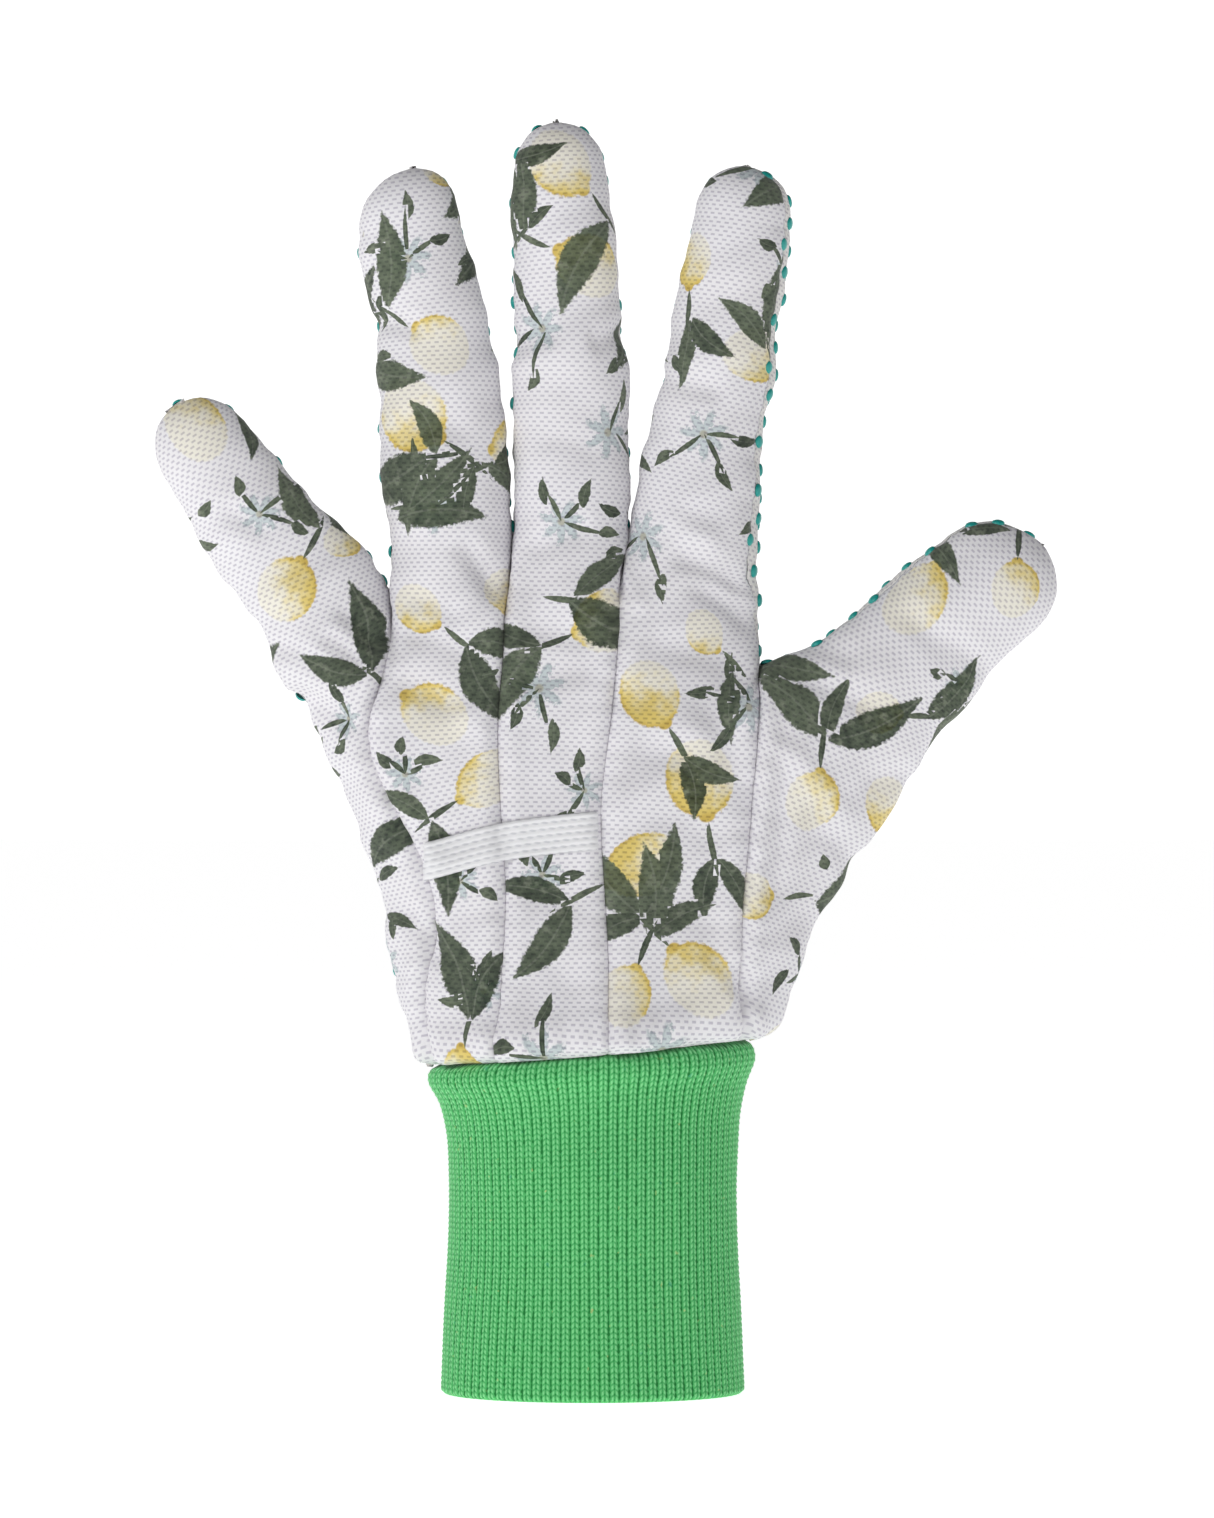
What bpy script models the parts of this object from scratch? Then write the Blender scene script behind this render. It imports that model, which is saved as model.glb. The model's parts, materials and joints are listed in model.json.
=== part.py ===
"""A left-hand gardening glove, standing upright on its knitted cuff.

The back of the hand is made of long woven strips, one for each finger, with the seams running down to
the wrist; the palm side is one dotted cloth; a rib-knit cuff closes the wrist and an elastic band
gathers the back. Every cloth piece is a thin curved shell, so the glove is hollow and open at the cuff.

Frame: metres, +Z from the cuff to the fingertips, +X towards the thumb, -Y out of the back of the hand.
All dimensions below are in millimetres. Heights in the seam tables are measured from the wrist seam at
its little-finger end.
"""
import math
from dataclasses import dataclass

import bmesh
import bpy
from mathutils import Vector

MM = 0.001

# ---------------------------------------------------------------- driving dimensions
PALM_WIDTH = 86.0          # across the back, little-finger side to the thumb seam region
PALM_LENGTH = 94.0         # wrist seam to the knuckle line at the middle finger
PALM_DEPTH = 16.0          # half the thickness of the filled hand at mid palm
FINGER_LENGTH_SCALE = 1.0  # all four fingers longer or shorter together
CUFF_HEIGHT = 69.5         # floor to the wrist seam at its little-finger end
CUFF_WALL = 3.0            # two layers of rib knit
CUFF_FOOT = (32.0, 22.5)   # half width and half depth of the cuff at the floor
CUFF_WAIST = (30.3, 20.8)  # the same at the narrowest height
WRIST_SEAM = (34.2, 22.0)  # the same at the seam between cuff and hand
CLOTH = 1.2                # thickness of the woven back and of the dotted palm cloth
SEAM_GAP = 0.4             # clearance between neighbouring pieces
ELASTIC_WIDTH = 8.0
ELASTIC_THICKNESS = 1.2
OVERLOCK_HEIGHT = 4.0
OVERLOCK_THICKNESS = 1.6
OVERLOCK_CLEARANCE = 2.2   # from the flat-sided rows of the hand to the round seam allowance inside

# the sizes that the seam tables are drawn for
DRAWN_WIDTH = 86.0
DRAWN_LENGTH = 94.0
DRAWN_DEPTH = 16.0

WRIST_CENTRE_X = -2.65     # middle of the wrist seam
CUFF_FOOT_X = -3.0         # middle of the cuff at the floor
SEAM_RISE = 0.0835         # slope of the wrist seam, up towards the thumb
SEAM_LOW_X = -36.8         # where the wrist seam is lowest
KNUCKLE_RISE = 0.171       # slope of the knuckle line, up towards the thumb
KNUCKLE_HEIGHT = 93.7      # of the knuckle line at x = 0, above the low end of the wrist seam

# ---------------------------------------------------------------- joints
KNUCKLE_AXIS_Y = 5.0
FINGER_AXIS_Y = 1.0
THUMB_AXIS_Y = 1.0
KNUCKLE_RANGE = (-10.0, 70.0)
FINGER_RANGE = (-5.0, 90.0)
THUMB_RANGE = (-5.0, 50.0)
FOLD_ZONE = 16.0           # length of cloth that gives way to a fold, on each side of it

# ---------------------------------------------------------------- mesh resolution
STRIP_COLUMNS = 6
PALM_COLUMNS = 14
DOME_ROWS = 4
HAND_ROW_STEP = 0.5        # stations between the rows of the hand
CUFF_SIDES = 36


@dataclass
class Seam:
    """A line of stitches down the back, by stations from the wrist seam (0) to the knuckles (5)."""
    stations: tuple
    x: tuple
    height: tuple
    depth: tuple


@dataclass
class Row:
    """One cross-section of a shell: its two edges, its crown above the chord and which way is up."""
    left: Vector
    right: Vector
    bulge: float
    along: Vector
    dome: float = 0.0
    turn: float = 0.0


@dataclass
class Fold:
    """A hinge line across the cloth: its centre, the direction the piece grows in, and its range."""
    centre: Vector
    along: Vector
    back: float
    flex: float


@dataclass
class Finger:
    name: str
    seams: tuple           # the seams on its left and right below the crotches
    webs: tuple            # from each seam's knuckle point to the crotch, or up the outer side (x, z)
    lower: tuple           # length, lean in degrees from upright, width and sway half way up
    bend: tuple            # width at the middle joint, lean of the joint
    tip: tuple             # length, lean and width where the rounded end starts
    end: tuple             # length and lean of the rounded end
    crowns: tuple          # bulge of the back strip at stations 0 to 5
    depths: tuple          # half depth at the crotch, half way, at the joint and near the tip


# the seams of the back: x, height and depth at each station, from the wrist seam to the knuckle line
SEAMS = {
    "little_side": Seam((0, 1, 2, 3, 4, 5), (-36.8, -43.1, -46.0, -53.6, -60.7, -69.3),
                        (None, 12.0, 34.0, 55.0, 71.4, None), (0.0, 0.0, 0.0, 0.0, 0.0, 0.0)),
    "ring_little": Seam((0, 1, 2, 3, 4, 5), (-35.1, -38.9, -35.7, -43.9, -50.6, -45.2),
                        (None, 13.0, 33.0, 52.5, 67.6, None), (6.9, 9.0, 11.5, 11.5, 11.0, 9.0)),
    "middle_ring": Seam((0, 1, 2, 3, 4, 5), (-23.3, -22.1, -21.0, -22.3, -22.7, -21.4),
                        (None, 17.2, 35.1, 55.0, 72.9, None), (17.5, 16.6, 14.9, 14.3, 13.5, 11.5)),
    "index_middle": Seam((0, 1, 2, 3, 4, 5), (0.2, 0.4, -0.6, -1.3, 1.3, 2.3),
                         (None, 20.4, 38.2, 55.0, 75.0, None), (21.9, 18.5, 16.0, 15.0, 14.0, 12.0)),
    "thumb_index": Seam((0, 1, 2, 3, 4, 4.6, 5), (27.9, 27.9, 28.6, 30.5, 31.9, 31.7, 31.3),
                        (None, 18.7, 34.0, 55.0, 72.9, 85.5, None), (9.9, 13.9, 13.7, 13.0, 11.0, 0.0, 0.0)),
}
THUMB_CROTCH_STATION = 4.6

FINGERS = (
    Finger("little", ("little_side", "ring_little"), ((-2.8, 8.8), (0.4, 13.0)), (29.4, -28.4, 26.8, 3.2),
           (25.4, -34.0), (20.6, -35.0, 21.0), (13.4, -34.6),
           (1.0, 1.6, 3.2, 3.2, 3.4, 6.5), (9.8, 9.4, 9.2, 8.8)),
    Finger("ring", ("ring_little", "middle_ring"), ((0.4, 13.0), (1.8, 20.1)), (61.6, -2.4, 26.8, 0.4),
           (24.2, -8.0), (24.9, -13.7, 22.2), (13.6, 4.6),
           (1.6, 1.8, 1.5, 1.8, 2.4, 2.2), (10.2, 9.8, 9.5, 9.0)),
    Finger("middle", ("middle_ring", "index_middle"), ((1.8, 20.1), (2.2, 17.1)), (58.6, 1.8, 25.4, 0.6),
           (24.2, -1.0), (32.6, -3.5, 20.5), (14.7, -3.9),
           (1.2, 1.1, 1.0, 1.1, 1.4, 1.8), (10.2, 10.0, 9.8, 9.2)),
    Finger("index", ("index_middle", "thumb_index"), ((2.2, 17.1), (-0.1, 9.6)), (46.0, 7.6, 25.6, -0.6),
           (23.2, 8.5), (31.9, 9.4, 21.3), (15.2, 5.7),
           (3.5, 2.0, 1.5, 1.6, 2.2, 5.5), (10.8, 10.2, 9.8, 9.2)),
)

# the thumb panel: its outer edge from the wrist seam round to the thumb (x, height), and its crown
THUMB_OUTER_EDGE = ((31.5, None), (39.9, 20.4), (46.4, 34.5), (56.0, 46.5), (62.5, 56.5),
                    (65.4, 62.0), (67.4, 65.9), (70.4, 69.9))
THUMB_INNER_EDGE = ((39.5, 86.1), (48.9, 91.6))       # above the crotch, up to the thumb joint
THUMB_CROWNS = (0.9, 3.0, 4.0, 4.8, 6.0, 11.5, 11.3, 10.8)
THUMB_TIP = (27.3, 46.4, 27.5, 9.8)                   # length, lean, width and half depth before the end
THUMB_END = (15.6, 52.6)                              # length and lean of the rounded end
THUMB_LEAN = 45.0

ELASTIC_STATIONS = (2.44, 2.57, 2.65)                 # where the band crosses the three seams


# ---------------------------------------------------------------- scene and materials
def clear_scene():
    for old in list(bpy.data.objects):
        bpy.data.objects.remove(old, do_unlink=True)


def material(name, colour, roughness):
    finish = bpy.data.materials.new(name)
    finish.use_nodes = True
    shader = finish.node_tree.nodes["Principled BSDF"]
    shader.inputs["Base Color"].default_value = (*colour, 1.0)
    shader.inputs["Roughness"].default_value = roughness
    shader.inputs["Metallic"].default_value = 0.0
    finish.diffuse_color = (*colour, 1.0)
    return finish


def joint_empty(name, centre, parent=None):
    """An empty on a joint's axis, which the pieces that turn there hang from."""
    empty = bpy.data.objects.new(name, None)
    empty.empty_display_size = 0.01
    bpy.context.scene.collection.objects.link(empty)
    empty.parent = parent
    empty.location = centre * MM - world_origin(parent)
    return empty


def world_origin(parent):
    """Where a piece's own origin lies in the world: at its joint, or at the glove's origin."""
    if parent is None:
        return Vector()
    return parent.location + world_origin(parent.parent)


def place(name, bm, finish, parent=None):
    """Turn a bmesh in millimetres into an object, hung from its joint's empty where it has one."""
    bmesh.ops.recalc_face_normals(bm, faces=bm.faces)
    origin = world_origin(parent)
    for vertex in bm.verts:
        vertex.co = vertex.co * MM - origin
    mesh = bpy.data.meshes.new(name)
    bm.to_mesh(mesh)
    bm.free()
    mesh.materials.append(finish)
    mesh.shade_smooth()
    mesh.set_sharp_from_angle(angle=math.radians(40))
    piece = bpy.data.objects.new(name, mesh)
    bpy.context.scene.collection.objects.link(piece)
    piece.parent = parent
    return piece


# ---------------------------------------------------------------- curves and seams
def smooth(stations, values, at):
    """A smooth curve through values at the given stations (cubic, with averaged slopes)."""
    last = len(stations) - 1
    index = max(i for i in range(last) if stations[i] <= at or i == 0)

    def slope(i):
        lo, hi = max(i - 1, 0), min(i + 1, last)
        return (values[hi] - values[lo]) / (stations[hi] - stations[lo])

    span = stations[index + 1] - stations[index]
    t = (at - stations[index]) / span
    rise = slope(index) * span
    fall = slope(index + 1) * span
    blend = 3 * t**2 - 2 * t**3
    level = values[index] * (1 - blend) + values[index + 1] * blend
    return level + (t**3 - 2 * t**2 + t) * rise + (t**3 - t**2) * fall


def hand_point(x, height, depth):
    """A point of the hand, from drawn sizes to the real ones; the back of the hand is at -Y."""
    return Vector((x * PALM_WIDTH / DRAWN_WIDTH,
                   -depth * PALM_DEPTH / DRAWN_DEPTH,
                   CUFF_HEIGHT + height * PALM_LENGTH / DRAWN_LENGTH))


def wrist_height(x):
    return (x - SEAM_LOW_X) * SEAM_RISE


def knuckle_height(x):
    return KNUCKLE_HEIGHT + x * KNUCKLE_RISE


def filled_heights(seam):
    """The seam's heights, with its ends put on the wrist seam and on the knuckle line."""
    heights = list(seam.height)
    heights[0] = wrist_height(seam.x[0])
    heights[-1] = knuckle_height(seam.x[-1])
    return heights


def seam_point(name, station):
    seam = SEAMS[name]
    return hand_point(smooth(seam.stations, seam.x, station),
                      smooth(seam.stations, filled_heights(seam), station),
                      max(0.0, smooth(seam.stations, seam.depth, station)))


def leaning(degrees):
    """The direction in the plane of the hand that leans towards the thumb by the given angle."""
    return Vector((math.sin(math.radians(degrees)), 0.0, math.cos(math.radians(degrees))))


def across(direction):
    """The direction in the plane of the hand at a right angle to a finger, towards the thumb."""
    return Vector((direction.z, 0.0, -direction.x))


# ---------------------------------------------------------------- shells
def row_points(row, side, inset, columns):
    """Points across one row: an elliptical arch on the chord, on the back (side -1) or the palm (+1)."""
    chord = row.right - row.left
    if side > 0:
        chord = Vector((chord.x, -chord.y, chord.z))
    middle = (row.left + row.right) / 2
    middle = Vector((middle.x, -side * middle.y, middle.z))
    half = chord.length / 2 - SEAM_GAP / 2 - inset
    chord = chord.normalized()
    outward = chord.cross(row.along).normalized()
    if outward.y * side < 0:
        outward = -outward
    centre = middle + Vector((0.0, side * SEAM_GAP / 2, 0.0))
    if row.dome:
        centre = centre + row.along * (row.dome - inset) * math.sin(row.turn)
    shrink = math.cos(row.turn)
    points = []
    for column in range(columns + 1):
        angle = math.pi * (column / columns - 0.5)
        points.append(centre + chord * (half * shrink * math.sin(angle))
                      + outward * ((row.bulge - inset) * shrink * math.cos(angle)))
    return points


def cut_at_fold(point, fold, keep):
    """Draw the cloth back from a fold, so that the two sides of it clear each other over its range.

    keep is -1 for the piece before the fold and +1 for the piece after it.
    """
    offset = point - fold.centre
    distance = offset.dot(fold.along)
    if distance * keep > FOLD_ZONE:
        return point
    palmward = max(0.0, offset.y) * math.tan(math.radians(fold.flex / 2))
    backward = max(0.0, -offset.y) * math.tan(math.radians(fold.back / 2))
    retreat = SEAM_GAP / 2 + palmward + backward
    share = 1.0 - abs(distance) / FOLD_ZONE
    return point + fold.along * (keep * retreat * share)


def shell(rows, side, columns, closed_tip=False, folds=()):
    """A closed thin shell through the rows, CLOTH thick; a closed tip ends in a point."""
    bm = bmesh.new()
    layers = []
    for inset in (0.0, CLOTH):
        layer = []
        for number, row in enumerate(rows):
            points = row_points(row, side, inset, columns)
            for fold, keep in folds:
                points = [cut_at_fold(point, fold, keep) for point in points]
            if closed_tip and number == len(rows) - 1:
                tip = bm.verts.new(points[0])
                layer.append([tip] * (columns + 1))
            else:
                layer.append([bm.verts.new(point) for point in points])
        layers.append(layer)
    outer, inner = layers

    def face(*corners):
        unique = list(dict.fromkeys(corners))
        bm.faces.new(unique)

    for lower in range(len(rows) - 1):
        for column in range(columns):
            for layer in layers:
                face(layer[lower][column], layer[lower][column + 1],
                     layer[lower + 1][column + 1], layer[lower + 1][column])
        for edge in (0, columns):
            face(outer[lower][edge], outer[lower + 1][edge], inner[lower + 1][edge], inner[lower][edge])
    ends = (0,) if closed_tip else (0, len(rows) - 1)
    for end in ends:
        for column in range(columns):
            face(outer[end][column], outer[end][column + 1], inner[end][column + 1], inner[end][column])
    return bm


def steps(first, last, size):
    """Evenly spaced stations from first to last, both included."""
    count = max(1, round((last - first) / size))
    return [first + (last - first) * i / count for i in range(count + 1)]


# ---------------------------------------------------------------- the hand
def hand_stations():
    """Stations of the rows in the hand, which also meet the thumb crotch."""
    return steps(0.0, 4.0, HAND_ROW_STEP) + [4.3, THUMB_CROTCH_STATION, 5.0]


def strip_row(finger, station):
    """A row of a back strip below the knuckles."""
    left = seam_point(finger.seams[0], station)
    right = seam_point(finger.seams[1], station)
    crown = smooth((0, 1, 2, 3, 4, 5), finger.crowns, station) * PALM_DEPTH / DRAWN_DEPTH
    return Row(left, right, crown, leaning(0.0))


def knuckle_fold():
    left = seam_point("little_side", 5)
    right = seam_point("thumb_index", 5)
    centre = (left + right) / 2
    along = Vector((-(right.z - left.z), 0.0, right.x - left.x)).normalized()
    return Fold(Vector((centre.x, KNUCKLE_AXIS_Y, centre.z)), along, -KNUCKLE_RANGE[0], KNUCKLE_RANGE[1])


def thumb_edges(station):
    """The two edges of the thumb panel at a station from the wrist seam (0) to the thumb joint (7)."""
    numbers = tuple(range(8))
    outer_x = [x for x, _ in THUMB_OUTER_EDGE]
    outer_height = [wrist_height(x) if height is None else height for x, height in THUMB_OUTER_EDGE]
    outer = hand_point(smooth(numbers, outer_x, station), smooth(numbers, outer_height, station), 0.0)
    if station <= 4:
        return seam_point("thumb_index", station), outer
    if station <= 5:
        return seam_point("thumb_index", 4 + (station - 4) * (THUMB_CROTCH_STATION - 4)), outer
    crotch = seam_point("thumb_index", THUMB_CROTCH_STATION)
    upper = [crotch] + [hand_point(x, height, 0.0) for x, height in THUMB_INNER_EDGE]
    inner = Vector([smooth((5, 6, 7), [point[axis] for point in upper], station) for axis in range(3)])
    return inner, outer


def thumb_panel_rows():
    rows = []
    for station in steps(0.0, 7.0, HAND_ROW_STEP):
        inner, outer = thumb_edges(station)
        crown = smooth(tuple(range(8)), THUMB_CROWNS, station) * PALM_DEPTH / DRAWN_DEPTH
        lean = smooth((0, 4, 7), (0.0, 20.0, THUMB_LEAN), station)
        rows.append(Row(inner, outer, crown, leaning(lean)))
    return rows


def thumb_fold():
    inner, outer = thumb_edges(7)
    centre = (inner + outer) / 2
    along = Vector((-(outer.z - inner.z), 0.0, outer.x - inner.x)).normalized()
    return Fold(Vector((centre.x, THUMB_AXIS_Y, centre.z)), along, -THUMB_RANGE[0], THUMB_RANGE[1])


def palm_rows():
    """The palm cloth of the hand, from the little-finger side to the thumb seam."""
    rows = []
    for station in hand_stations():
        left = seam_point("little_side", station)
        right = seam_point("thumb_index", station)
        chord = (right - left).length
        middle_depth = seam_point("index_middle", station).y
        crown = -middle_depth - abs(right.y + left.y) / 2 * (chord / (right.x - left.x))
        rows.append(Row(left, right, max(crown, CLOTH), leaning(0.0)))
    return rows


# ---------------------------------------------------------------- the fingers
@dataclass
class FingerPath:
    """One finger past the knuckles: its middle joint, and the rows before and after it."""
    joint: Fold
    lower_rows: list
    tip_rows: list


def finger_path(finger):
    spread = PALM_WIDTH / DRAWN_WIDTH
    knuckle = [seam_point(name, 5) for name in finger.seams]
    crotch = [point + Vector((x * spread, -point.y, z)) for point, (x, z) in zip(knuckle, finger.webs)]
    base = (knuckle[0] + knuckle[1]) / 2
    base.y = 0.0
    length, lean, width, sway = finger.lower
    length *= FINGER_LENGTH_SCALE
    half_way = base + leaning(lean) * length * 0.66 + across(leaning(lean)) * sway * spread
    joint = base + leaning(lean) * length
    joint_width, joint_lean = finger.bend
    tip_length, tip_lean, tip_width = finger.tip
    tip = joint + leaning(tip_lean) * tip_length * FINGER_LENGTH_SCALE

    centres = {
        7: (half_way, lean, width),
        8: (joint, joint_lean, joint_width),
        9: (tip, tip_lean, tip_width),
    }
    lefts = {5: knuckle[0], 6: crotch[0]}
    rights = {5: knuckle[1], 6: crotch[1]}
    for station, (centre, angle, size) in centres.items():
        half = size * spread / 2
        lefts[station] = centre - across(leaning(angle)) * half
        rights[station] = centre + across(leaning(angle)) * half
    numbers = (5, 6, 7, 8, 9)
    crown_at_knuckle = finger.crowns[5] * PALM_DEPTH / DRAWN_DEPTH
    crowns = (crown_at_knuckle,) + finger.depths
    leans = (0.0, lean / 2, lean, joint_lean, tip_lean)

    def row(station):
        left = Vector([smooth(numbers, [lefts[n][axis] for n in numbers], station) for axis in range(3)])
        right = Vector([smooth(numbers, [rights[n][axis] for n in numbers], station) for axis in range(3)])
        left.y, right.y = min(left.y, 0.0), min(right.y, 0.0)
        direction = leaning(smooth(numbers, leans, station))
        return Row(left, right, smooth(numbers, crowns, station), direction)

    lower_rows = [row(station) for station in steps(5.0, 8.0, 0.5)]
    tip_rows = [row(station) for station in steps(8.0, 9.0, 0.34)]
    end_length, end_lean = finger.end
    tip_rows += dome(tip_rows[-1], end_length, end_lean)
    axis = Vector((joint.x, FINGER_AXIS_Y, joint.z))
    fold = Fold(axis, leaning(joint_lean), -FINGER_RANGE[0], FINGER_RANGE[1])
    return FingerPath(fold, lower_rows, tip_rows)


def dome(last_row, length, lean):
    """Rows that round off a fingertip."""
    rows = []
    for number in range(1, DOME_ROWS + 1):
        turn = math.radians(90.0 * number / DOME_ROWS)
        rows.append(Row(last_row.left, last_row.right, last_row.bulge, leaning(lean), length, turn))
    return rows


def thumb_tip_rows(fold):
    """The thumb past its joint."""
    length, lean, width, depth = THUMB_TIP
    inner, outer = thumb_edges(7)
    tip = (inner + outer) / 2 + leaning(lean) * length
    tip_left = tip - across(leaning(lean)) * width / 2
    tip_right = tip + across(leaning(lean)) * width / 2
    rows = []
    for share in steps(0.0, 1.0, 0.34):
        crown = THUMB_CROWNS[-1] * PALM_DEPTH / DRAWN_DEPTH
        rows.append(Row(inner.lerp(tip_left, share), outer.lerp(tip_right, share),
                        crown + (depth - crown) * share, fold.along))
    end_length, end_lean = THUMB_END
    return rows + dome(rows[-1], end_length, end_lean)


# ---------------------------------------------------------------- cuff, wrist seam and elastic
def ring(levels, wall):
    """A closed elliptical ring wall. levels: (half width, half depth, centre x, height function)."""
    bm = bmesh.new()
    loops = []
    for inset, order in ((0.0, levels), (wall, list(reversed(levels)))):
        for half_width, half_depth, centre_x, height in order:
            loop = []
            for side in range(CUFF_SIDES):
                angle = 2 * math.pi * side / CUFF_SIDES
                x = centre_x + (half_width - inset) * math.cos(angle)
                y = (half_depth - inset) * math.sin(angle)
                loop.append(bm.verts.new((x, y, height(x))))
            loops.append(loop)
    for number, loop in enumerate(loops):
        following = loops[(number + 1) % len(loops)]
        for side in range(CUFF_SIDES):
            after = (side + 1) % CUFF_SIDES
            bm.faces.new((loop[side], loop[after], following[after], following[side]))
    return bm


def seam_level(x):
    return CUFF_HEIGHT + wrist_height(x * DRAWN_WIDTH / PALM_WIDTH) * PALM_LENGTH / DRAWN_LENGTH


def wrist_ellipse(inset=0.0):
    """Half width, half depth and centre of the wrist seam, scaled with the palm."""
    spread = PALM_WIDTH / DRAWN_WIDTH
    half_width = WRIST_SEAM[0] * spread - inset
    half_depth = WRIST_SEAM[1] * PALM_DEPTH / DRAWN_DEPTH - inset
    return half_width, half_depth, WRIST_CENTRE_X * spread


def cuff_levels():
    top_width, top_depth, top_x = wrist_ellipse()
    foot = (*CUFF_FOOT, CUFF_FOOT_X, lambda x: 0.0)
    waist_low = (*CUFF_WAIST, CUFF_FOOT_X, lambda x: CUFF_HEIGHT * 0.42)
    waist_high = (*CUFF_WAIST, CUFF_FOOT_X, lambda x: CUFF_HEIGHT * 0.66)
    neck = ((CUFF_WAIST[0] + top_width) / 2, (CUFF_WAIST[1] + top_depth) / 2, (CUFF_FOOT_X + top_x) / 2,
            lambda x: seam_level(x) - CUFF_HEIGHT * 0.13)
    rim = (top_width, top_depth, top_x, lambda x: seam_level(x) - SEAM_GAP)
    return [foot, waist_low, waist_high, neck, rim]


def overlock_levels():
    """The overlocked seam allowance inside the wrist seam."""
    width, depth, centre = wrist_ellipse(CLOTH + OVERLOCK_CLEARANCE)
    return [(width, depth, centre, lambda x: seam_level(x) + SEAM_GAP),
            (width, depth, centre, lambda x: seam_level(x) + SEAM_GAP + OVERLOCK_HEIGHT)]


def elastic_band():
    """The flat band across the ring and middle strips, held straight over the valley of the seam."""
    surface = []
    for number, finger in enumerate(FINGERS[1:3]):
        start, end = ELASTIC_STATIONS[number], ELASTIC_STATIONS[number + 1]
        for beside in (-HAND_ROW_STEP, 0.0, HAND_ROW_STEP):
            for column in range(STRIP_COLUMNS + 1):
                station = start + (end - start) * column / STRIP_COLUMNS + beside
                point = row_points(strip_row(finger, station), -1, 0.0, STRIP_COLUMNS)[column]
                surface.append((point.x, -point.y))
    ridge = upper_hull(surface)
    crossings = [seam_point(name, station) for name, station in
                 zip(("ring_little", "middle_ring", "index_middle"), ELASTIC_STATIONS)]
    half = ELASTIC_WIDTH / 2
    bm = bmesh.new()
    sections = []
    for share in steps(0.0, 2.0, 0.2):
        x = smooth((0, 1, 2), [point.x for point in crossings], share)
        z = smooth((0, 1, 2), [point.z for point in crossings], share)
        inner = height_on(ridge, x) + SEAM_GAP
        outer = inner + ELASTIC_THICKNESS
        corners = ((inner, -half), (inner, half), (outer, half), (outer, -half))
        sections.append([bm.verts.new((x, -y, z + up)) for y, up in corners])
    for first, second in zip(sections, sections[1:]):
        for corner in range(4):
            after = (corner + 1) % 4
            bm.faces.new((first[corner], first[after], second[after], second[corner]))
    bm.faces.new(sections[0])
    bm.faces.new(sections[-1])
    return bm


def upper_hull(points):
    """The points that a taut band laid over all of them would touch."""
    kept = []
    for x, y in sorted(points):
        while len(kept) > 1:
            (x0, y0), (x1, y1) = kept[-2:]
            if (y1 - y0) * (x - x0) > (y - y0) * (x1 - x0):
                break
            kept.pop()
        kept.append((x, y))
    return kept


def height_on(line, x):
    """The height of a line of points at x, held level past its ends."""
    if x <= line[0][0]:
        return line[0][1]
    for (x0, y0), (x1, y1) in zip(line, line[1:]):
        if x <= x1:
            return y0 + (y1 - y0) * (x - x0) / (x1 - x0)
    return line[-1][1]


# ---------------------------------------------------------------- assembly
def build():
    clear_scene()
    print_cloth = material("woven_cotton_print", (0.80, 0.79, 0.80), 0.85)
    dotted_cloth = material("dotted_palm_cloth", (0.55, 0.74, 0.72), 0.8)
    knit = material("rib_knit_green", (0.06, 0.45, 0.13), 0.9)
    elastic = material("white_elastic", (0.82, 0.82, 0.84), 0.6)
    thread = material("overlock_thread", (0.75, 0.75, 0.72), 0.8)

    place("knit_cuff", ring(cuff_levels(), CUFF_WALL), knit)
    place("wrist_overlock_seam", ring(overlock_levels(), OVERLOCK_THICKNESS), thread)
    place("back_elastic", elastic_band(), elastic)

    knuckles = knuckle_fold()
    knuckle_joint = joint_empty("knuckle_fold", knuckles.centre)
    for finger in FINGERS:
        below = [strip_row(finger, station) for station in hand_stations()]
        strip = shell(below, -1, STRIP_COLUMNS, folds=((knuckles, -1),))
        place(f"{finger.name}_back_strip", strip, print_cloth)
        path = finger_path(finger)
        both = ((knuckles, 1), (path.joint, -1))
        tip_joint = joint_empty(f"{finger.name}_bend", path.joint.centre, knuckle_joint)
        for side, label, cloth in ((-1, "back", print_cloth), (1, "front", dotted_cloth)):
            lower = shell(path.lower_rows, side, STRIP_COLUMNS, folds=both)
            place(f"{finger.name}_{label}_lower", lower, cloth, knuckle_joint)
            tip = shell(path.tip_rows, side, STRIP_COLUMNS, True, ((path.joint, 1),))
            place(f"{finger.name}_{label}_tip", tip, cloth, tip_joint)

    palm = shell(palm_rows(), 1, PALM_COLUMNS, folds=((knuckles, -1),))
    place("palm_panel", palm, dotted_cloth)

    thumb = thumb_fold()
    thumb_joint = joint_empty("thumb_bend", thumb.centre)
    for side, label, cloth in ((-1, "back", print_cloth), (1, "front", dotted_cloth)):
        panel = shell(thumb_panel_rows(), side, STRIP_COLUMNS, folds=((thumb, -1),))
        place(f"thumb_{label}_panel", panel, cloth)
        tip = shell(thumb_tip_rows(thumb), side, STRIP_COLUMNS, True, ((thumb, 1),))
        place(f"thumb_{label}_tip", tip, cloth, thumb_joint)


build()
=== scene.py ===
# %% [markdown]
# # A gardening glove, filled and standing on its cuff
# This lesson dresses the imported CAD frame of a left-hand cotton glove. The frame is coarse: it knows
# where every strip of cloth, seam and joint lies. We measure it, loft fine cloth over the measures, sew
# in valleys, puckers and creases, then print, knit and dot the surfaces with procedural materials.
# Everything is in millimetres until a mesh is made; +Z runs to the fingertips and -Y out of the back.

# %% Load the frame
import json
import math

import bpy
import bmesh
import numpy as np
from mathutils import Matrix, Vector, noise
from mathutils.bvhtree import BVHTree
from mathutils.kdtree import KDTree


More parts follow.
